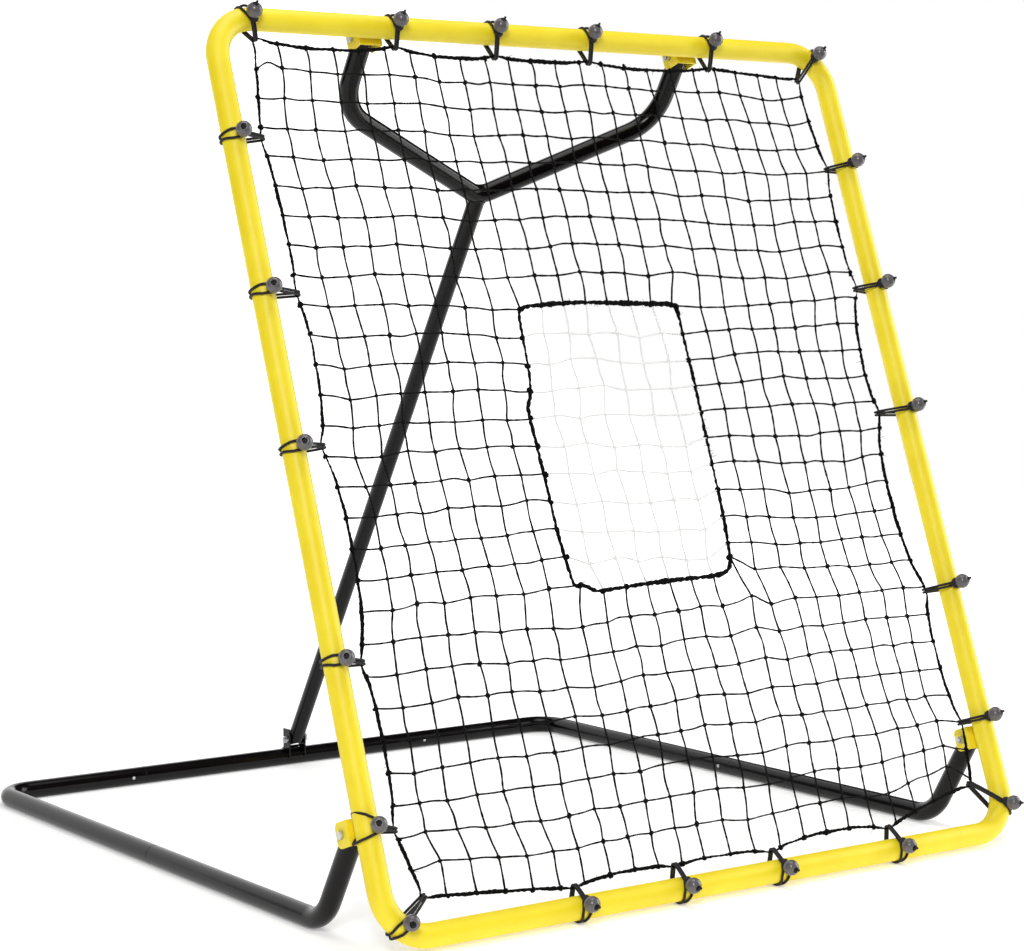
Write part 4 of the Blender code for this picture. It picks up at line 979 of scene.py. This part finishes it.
# The lines round the window end on its rope, spread along it, and their neighbours follow.
zone_rows = np.linspace(0.0, 1.0, ZONE_BOTTOM - ZONE_TOP + 1)
zone_columns = np.linspace(0.0, 1.0, ZONE_RIGHT - ZONE_LEFT + 1)
level = ROPE_ABOVE + (ROPE_BELOW - ROPE_ABOVE) * zone_rows
level = np.clip(level, ROPE_BELOW + ROPE_BEND, ROPE_ABOVE - ROPE_BEND)
place = ROPE_LEFT + (ROPE_RIGHT - ROPE_LEFT) * zone_columns
place = np.clip(place, ROPE_LEFT + ROPE_BEND, ROPE_RIGHT - ROPE_BEND)
fade = np.exp(-np.arange(1, 7) / 2.4)[:, None]
for index, row in enumerate(range(ZONE_TOP, ZONE_BOTTOM + 1)):
    for column, side in ((ZONE_LEFT, -1), (ZONE_RIGHT, 1)):
        to = np.array([crossing(ZONE, level[index], 1, side), level[index]])
        knots[row, column + side * np.arange(1, 7)] += (to - knots[row, column]) * fade
        knots[row, column] = to
for index, column in enumerate(range(ZONE_LEFT, ZONE_RIGHT + 1)):
    for row, side in ((ZONE_TOP, 1), (ZONE_BOTTOM, -1)):
        to = np.array([place[index], crossing(ZONE, place[index], 0, side)])
        knots[row - side * np.arange(1, 7), column] += (to - knots[row, column]) * fade
        knots[row, column] = to
print("knots", (ROWS - 1) * (COLUMNS - 1))

# %% [markdown]
# Each line of the net is one twine that wanders a little between its knots. It is drawn through its
# knots with one extra point in the middle of each mesh, moved a millimetre to either side. The knots are
# small squashed balls, with few faces because there are hundreds.

# %% Black net
TWINE = 0.00158
KNOT = 0.0038


def twine(places, radius=TWINE, slack=0.0011, spacing=0.0068, bow=None):
    """A round thread through the knots, with a slack middle in each mesh, in front of or behind the plane
    by less than its own thickness. Its thickness wanders by a tenth, as spun twine's does."""
    places = np.asarray(places, float)
    middles = (places[1:] + places[:-1]) / 2 + chance.normal(0.0, slack, (len(places) - 1, 2))
    if bow is not None:
        middles[bow[0]] += bow[1]
    woven = np.empty((len(places) * 2 - 1, 2))
    woven[::2], woven[1::2] = places, middles
    path = spread_out(woven, spacing)
    depth = 0.0012 * np.sin(np.linspace(0.0, len(places) * 2.1, len(path)) + chance.uniform(0, 6.28))
    width = radius * (1.0 + np.clip(chance.normal(0.0, 0.10, len(path)), -0.2, 0.2))
    return carried(on_frame(path[:, 0], path[:, 1], depth), width, 6, normal=FRAME_NORMAL)


def knot_lumps(places, radius=KNOT):
    """A squashed ball at each knot, all in one array: longitude, latitude and a random turn and size."""
    places = np.asarray(places, float)
    turn = np.arange(7) * math.tau / 7
    tilt = np.array([0.35, 1.1, math.pi - 1.1, math.pi - 0.35])
    size = radius * chance.uniform(0.80, 1.15, (len(places), 1, 1))
    stretch = chance.uniform(0.9, 1.4, (len(places), 1, 1))
    lean = chance.uniform(0.0, math.pi, (len(places), 1, 1))
    x = size * stretch * np.sin(tilt)[None, :, None] * np.cos(turn)[None, None]
    y = size * np.sin(tilt)[None, :, None] * np.sin(turn)[None, None]
    depth = size * 0.9 * np.cos(tilt)[None, :, None] + 0 * x
    aside, up = x * np.cos(lean) - y * np.sin(lean), x * np.sin(lean) + y * np.cos(lean)
    grid = on_frame(places[:, 0, None, None] + aside, places[:, 1, None, None] + up, -depth)
    return gathered([grid_surface(one, np.linspace(0.0, 0.006, 4)) for one in grid])


lines = []
for column in range(1, COLUMNS):
    if ZONE_LEFT <= column <= ZONE_RIGHT:
        lines += [knots[: ZONE_TOP + 1, column], knots[ZONE_BOTTOM:, column]]
    else:
        lines.append(knots[:, column])
for row in range(2, ROWS):
    if ZONE_TOP <= row <= ZONE_BOTTOM:
        lines += [knots[row, : ZONE_LEFT + 1], knots[row, ZONE_RIGHT:]]
    else:
        lines.append(knots[row])
threads = [twine(line) for line in lines]
# One mesh at the top left is slack, and its twine stands up in a bow.
threads.append(twine(knots[1], bow=(0, (0.0, 0.0115))))
inside = np.zeros((ROWS + 1, COLUMNS + 1), bool)
inside[ZONE_TOP : ZONE_BOTTOM + 1, ZONE_LEFT : ZONE_RIGHT + 1] = True
free = ~inside
free[[0, -1]] = False
free[:, [0, -1]] = False
net = make_piece("black_knotted_net", gathered([*threads, knot_lumps(knots[free])]), BLACK_TWINE)
stand_in(net, "front", "black_twine", "rebound_net")
print("net triangles", sum(len(face.vertices) - 2 for face in net.data.polygons))

# %% [markdown]
# The white net fills the window with the same mesh. It is tied to the same rope, so its lines start
# where the black net's lines end.

# %% White net in the strike zone
rows = np.arange(ZONE_TOP, ZONE_BOTTOM + 1)
columns = np.arange(ZONE_LEFT, ZONE_RIGHT + 1)
left, right = knots[rows, ZONE_LEFT], knots[rows, ZONE_RIGHT]
upper, lower = knots[ZONE_TOP, columns], knots[ZONE_BOTTOM, columns]
down = zone_rows[:, None, None]
over = zone_columns[None, :, None]
# A surface through four edges: the two straight blends added, less the blend of the corners (Coons).
top_corners = upper[0] * (1 - over) + upper[-1] * over
bottom_corners = lower[0] * (1 - over) + lower[-1] * over
corners = top_corners * (1 - down) + bottom_corners * down
sideways = left[:, None] * (1 - over) + right[:, None] * over
white = sideways + (upper[None] * (1 - down) + lower[None] * down) - corners
white[1:-1, 1:-1] += chance.normal(0.0, 0.0030, white[1:-1, 1:-1].shape)
white_lines = [*white[1:-1], *white[:, 1:-1].swapaxes(0, 1)]
white_net = make_piece(
    "white_knotted_net",
    gathered([*(twine(line) for line in white_lines), knot_lumps(white[1:-1, 1:-1].reshape(-1, 2))]),
    WHITE_TWINE,
)
stand_in(white_net, "front", "white_twine", "strike_zone_net")

# %% [markdown]
# The ropes are soft spun rope with twine wound over them to tie in the net, so they are lumpy and hairy,
# with a knot where each line of the net ends. The surface is a ring whose radius rises and falls along the
# rope and round it, and the hairs are thin bent threads that start inside it.

# %% Hairy ropes
TIED_KNOT, SECOND_KNOT, ZONE_KNOT = 0.0044, 0.0034, 0.0050
# How many hairs a place has, and how far the longest one stands out.
ROPE_HAIRS, KNOT_HAIRS, ZONE_HAIRS = (700, 0.0055), (200, 0.0080), (420, 0.0065)


def wave_noise(count, turns):
    """A sum of sines of random phase round a closed line, about one in size."""
    place = np.linspace(0.0, math.tau, count, endpoint=False)[:, None]
    phase = chance.uniform(0, math.tau, (1, len(turns)))
    size = chance.uniform(0.3, 0.6, (1, len(turns)))
    return (np.sin(place * np.array(turns)[None] + phase) * size).sum(axis=1)


def rope_surface(outline, radius_at, sides, spacing, lumps):
    """A ring whose radius is the rope's own times three wobbles: waves along the rope, the lay of three
    strands, whose crests pass every 12 mm, and a random roughness. The path sways in the net's plane by up
    to about 0.7 mm."""
    path = spread_out(outline, spacing, closed=True)
    count = len(path)
    turn = np.arange(sides) * math.tau / sides
    slow = wave_noise(count, (3, 7, 13, 29, 53, 97, round(count * spacing / 0.011)))
    lay = np.cos(3 * turn[None] - (np.arange(count) * spacing / 0.012 * math.tau)[:, None])
    radius = (radius_at(path) * (1.0 + lumps * 0.55 * slow))[:, None] * (1.0 + 0.10 * lay)
    radius = radius * (1.0 + chance.normal(0.0, 0.06, (count, sides)))
    sway = 0.0006 * np.stack([wave_noise(count, (71, 113)), wave_noise(count, (61, 131))], axis=1)
    spots = on_frame(path[:, 0] + sway[:, 0], path[:, 1] + sway[:, 1], 0.0)
    return carried(spots, radius, sides, closed=True, normal=FRAME_NORMAL), path


def hairs(path, radius_at, count, longest):
    """Bent threads that leave the rope in any direction: a start on its path, a way out and a curl."""
    pick = chance.integers(0, len(path), count)
    start = on_frame(path[pick, 0], path[pick, 1], 0.0)
    out = unit(chance.normal(0.0, 1.0, (count, 3)))
    curl = unit(chance.normal(0.0, 1.0, (count, 3)))
    reach = radius_at(path[pick]) + chance.uniform(0.10, 1.0, count) ** 2 * longest
    share = np.linspace(0.0, 1.0, 5)[None, :, None]
    spots = start[:, None] + out[:, None] * share * reach[:, None, None]
    spots = spots + curl[:, None] * share**2 * 0.45 * reach[:, None, None]
    return gathered([carried(one, np.linspace(0.00060, 0.00025, 5), 3) for one in spots])


def border_radius(path):
    """About 6 mm thick, 5 mm up the sides, and thinner still beside each loop, where no twine is wound."""
    side = np.clip((np.abs(path[:, 0]) - 0.555) / 0.015, 0.0, 1.0) * (np.abs(path[:, 1] - 0.745) < 0.68)
    near = np.linalg.norm(path[:, None] - held[None], axis=-1).min(axis=1)
    wound = np.clip(near / 0.018 - 0.4, 0.0, 1.0)
    return (0.0028 - 0.0004 * side) * (0.60 + 0.40 * wound)


def zone_radius(path):
    """Thickest along the top and bottom of the window."""
    nearest = np.minimum(np.abs(path[:, 1] - 0.992), np.abs(path[:, 1] - 0.503))
    flat = np.clip(1.0 - nearest / 0.03, 0.0, 1.0)
    return 0.0026 + 0.0013 * flat


surface, path = rope_surface(rope_outline, border_radius, sides=10, spacing=0.0028, lumps=0.38)
tied = np.concatenate([knots[0, 1:-1], knots[-1, 1:-1], knots[1:-1, 0], knots[1:-1, -1]])
border_parts = [
    surface,
    knot_lumps(tied, TIED_KNOT),
    knot_lumps(tied + chance.normal(0, 0.0020, tied.shape), SECOND_KNOT),
    hairs(path, border_radius, *ROPE_HAIRS),
    hairs(tied, border_radius, *KNOT_HAIRS),
]
border = make_piece("border_rope_spun", gathered(border_parts), BLACK_ROPE)
stand_in(border, "front", "black_rope", "border_rope")

surface, path = rope_surface(ZONE, zone_radius, sides=12, spacing=0.0025, lumps=0.34)
tied = np.concatenate([
    knots[ZONE_TOP : ZONE_BOTTOM + 1, [ZONE_LEFT, ZONE_RIGHT]].reshape(-1, 2),
    knots[[ZONE_TOP, ZONE_BOTTOM], ZONE_LEFT : ZONE_RIGHT + 1].reshape(-1, 2),
])
zone_parts = [
    surface,
    knot_lumps(tied + chance.normal(0, 0.0014, tied.shape), ZONE_KNOT),
    hairs(path, zone_radius, *ZONE_HAIRS),
]
zone = make_piece("strike_zone_rope_spun", gathered(zone_parts), BLACK_ROPE)
stand_in(zone, "front", "black_rope", "strike_zone_rope")
print("hairs", ROPE_HAIRS[0] + KNOT_HAIRS[0] + ZONE_HAIRS[0])

# %% [markdown]
# A ball bungee is a loop of braided elastic whose two ends are knotted inside a ball. Both strands run
# from the ball's neck down to the rope, round it, back behind the tube and over its far side, and the end
# of the loop is hooked over the neck. So the cord's path is one line in the plane across the tube, and its
# two strands are that line moved to either side.

# %% Ball bungees
CORD = 0.0022
BALL = 0.0130
BALL_AHEAD = 0.0362
NECK_TURN = math.radians(30.0)
ROPE_HOOK = 0.0046
CORD_ROOM = 0.0002
# How much further apart the strands lie behind the tube. left_5 sits on a side bracket, so its strands
# pass above and below it.
SPREAD, WIDE_SPREAD = 0.0016, 0.0205


def cord_path(distance, spread, slant):
    """The cord's middle line as (outward, ahead, aside). The run behind the tube leaves the rope's turn on
    the line that touches both circles: the sine of its angle is their radii's difference over the
    distance between them."""
    ring = FRAME_TUBE + CORD + CORD_ROOM
    alpha = math.asin((ring - ROPE_HOOK) / distance)
    hook = np.linspace(math.radians(338.0), math.pi + alpha, 8)
    behind = np.linspace(math.pi + alpha, math.radians(34.0), 15)
    wide = spread * np.clip(np.sin(np.clip(math.pi + alpha - behind, 0.0, math.pi / 2)), 0.0, 1.0) ** 2
    fan = np.clip((math.radians(80.0) - behind) / math.radians(46.0), 0.0, 1.0)
    wide = wide * (1.0 - fan) + (0.0040 + 0.55 * spread) * fan
    out = np.concatenate([
        [-0.0060, -0.0120, -0.5 * distance - 0.006],
        -distance + ROPE_HOOK * np.sin(hook),
        ring / math.cos(slant) * np.sin(behind),
        [0.0030, -0.0070, -0.0125],
    ])
    ahead = np.concatenate([
        [0.0225, 0.0197, 0.0128],
        ROPE_HOOK * np.cos(hook),
        ring * np.cos(behind),
        [0.0228, 0.0252, 0.0254],
    ])
    aside = np.concatenate([
        [0.0023, 0.0025, 0.0025],
        np.full(8, 0.0025),
        0.0026 + wide,
        [0.0070 + 0.3 * spread, 0.0071 + 0.1 * spread, 0.0045],
    ])
    one = np.stack([out, ahead, aside], axis=1)
    two = one[::-1] * [1.0, 1.0, -1.0]
    return np.concatenate([one, [[-0.0148, 0.0252, 0.0]], two])


def ball_surface(middle, axis):
    """A turned profile: a short neck, the ball, a rounded mouth and the hole that the knot sits in."""
    tilt = np.linspace(math.radians(155.0), math.radians(28.0), 20)
    rim = np.linspace(0.0, math.pi, 6)[1:]
    neck = [(-0.0150, 0.0020), (-0.0150, 0.0047), (-0.0142, 0.0052)]
    ball = np.stack([BALL * np.cos(tilt), BALL * np.sin(tilt)], axis=1)
    mouth = np.stack([0.01148 + 0.0007 * np.sin(rim), 0.0055 + 0.0006 * np.cos(rim)], axis=1)
    hole = [(0.0085, 0.0047), (0.0062, 0.0044), (0.0062, 0.0010)]
    heights, radii = np.concatenate([neck, ball, mouth, hole]).T
    return lathe(middle, axis, heights, radii, sides=40)


def cord_knot(middle, axis):
    """The two tails come out of the hole as a small doubled knot, and a turn of cord closes the neck."""
    first, second = basis(axis)
    turn = np.radians(np.linspace(0.0, 430.0, 20))[:, None]
    climb = np.linspace(0.0070, 0.0136, 20)[:, None]
    coil = middle + axis * climb + 0.0021 * (np.cos(turn) * first + np.sin(turn) * second)
    tail = np.array([[0.0012, 0.0004, 0.0070], [0.0016, 0.0010, 0.0130], [0.0024, 0.0012, 0.0172]])
    round_neck = np.linspace(0.0, math.tau, 24, endpoint=False)[:, None]
    collar = middle - 0.0138 * axis + 0.0051 * (np.cos(round_neck) * first + np.sin(round_neck) * second)
    tail = middle + tail[:, :1] * first + tail[:, 1:2] * second + tail[:, 2:] * axis
    return gathered([
        carried(coil, 0.0021, 8), carried(spread_out(tail, 0.0015), 0.0021, 8),
        carried(collar, 0.0026, 8, closed=True, normal=axis),
    ])


for name, at, rope, _ in LOOPS:
    tube_at, rope_at = on_tube(name, at), np.array(rope)
    way = unit(tube_at - rope_at)
    outward, ahead = way[0] * RIGHT + way[1] * FRAME_UP, -FRAME_NORMAL
    square = np.array([math.cos(at), math.sin(at)]) if not name[-1].isdigit() else None
    slant = 0.0 if square is None else math.acos(min(1.0, float(way @ square)))
    spread = WIDE_SPREAD if name == "left_5" else SPREAD
    local = cord_path(float(np.linalg.norm(tube_at - rope_at)), spread, slant)
    centre = on_frame(*tube_at)
    spots = centre + local @ np.stack([outward, ahead, np.cross(outward, ahead)])
    axis = math.cos(NECK_TURN) * ahead + math.sin(NECK_TURN) * outward
    middle = centre + BALL_AHEAD * ahead
    cord = gathered([carried(spread_out(spots, 0.0022), CORD, 10), cord_knot(middle, axis)])
    cord = make_piece(f"{name}_elastic_cord", cord, ELASTIC)
    stand_in(cord, "front", "grey_ball_bungee", f"bungee_{name}")
    ball = make_piece(f"{name}_ball", ball_surface(middle, axis), GREY_PLASTIC, smooth=35.0)
    stand_in(ball, "front", "grey_ball_bungee")
print("bungees", len(LOOPS))
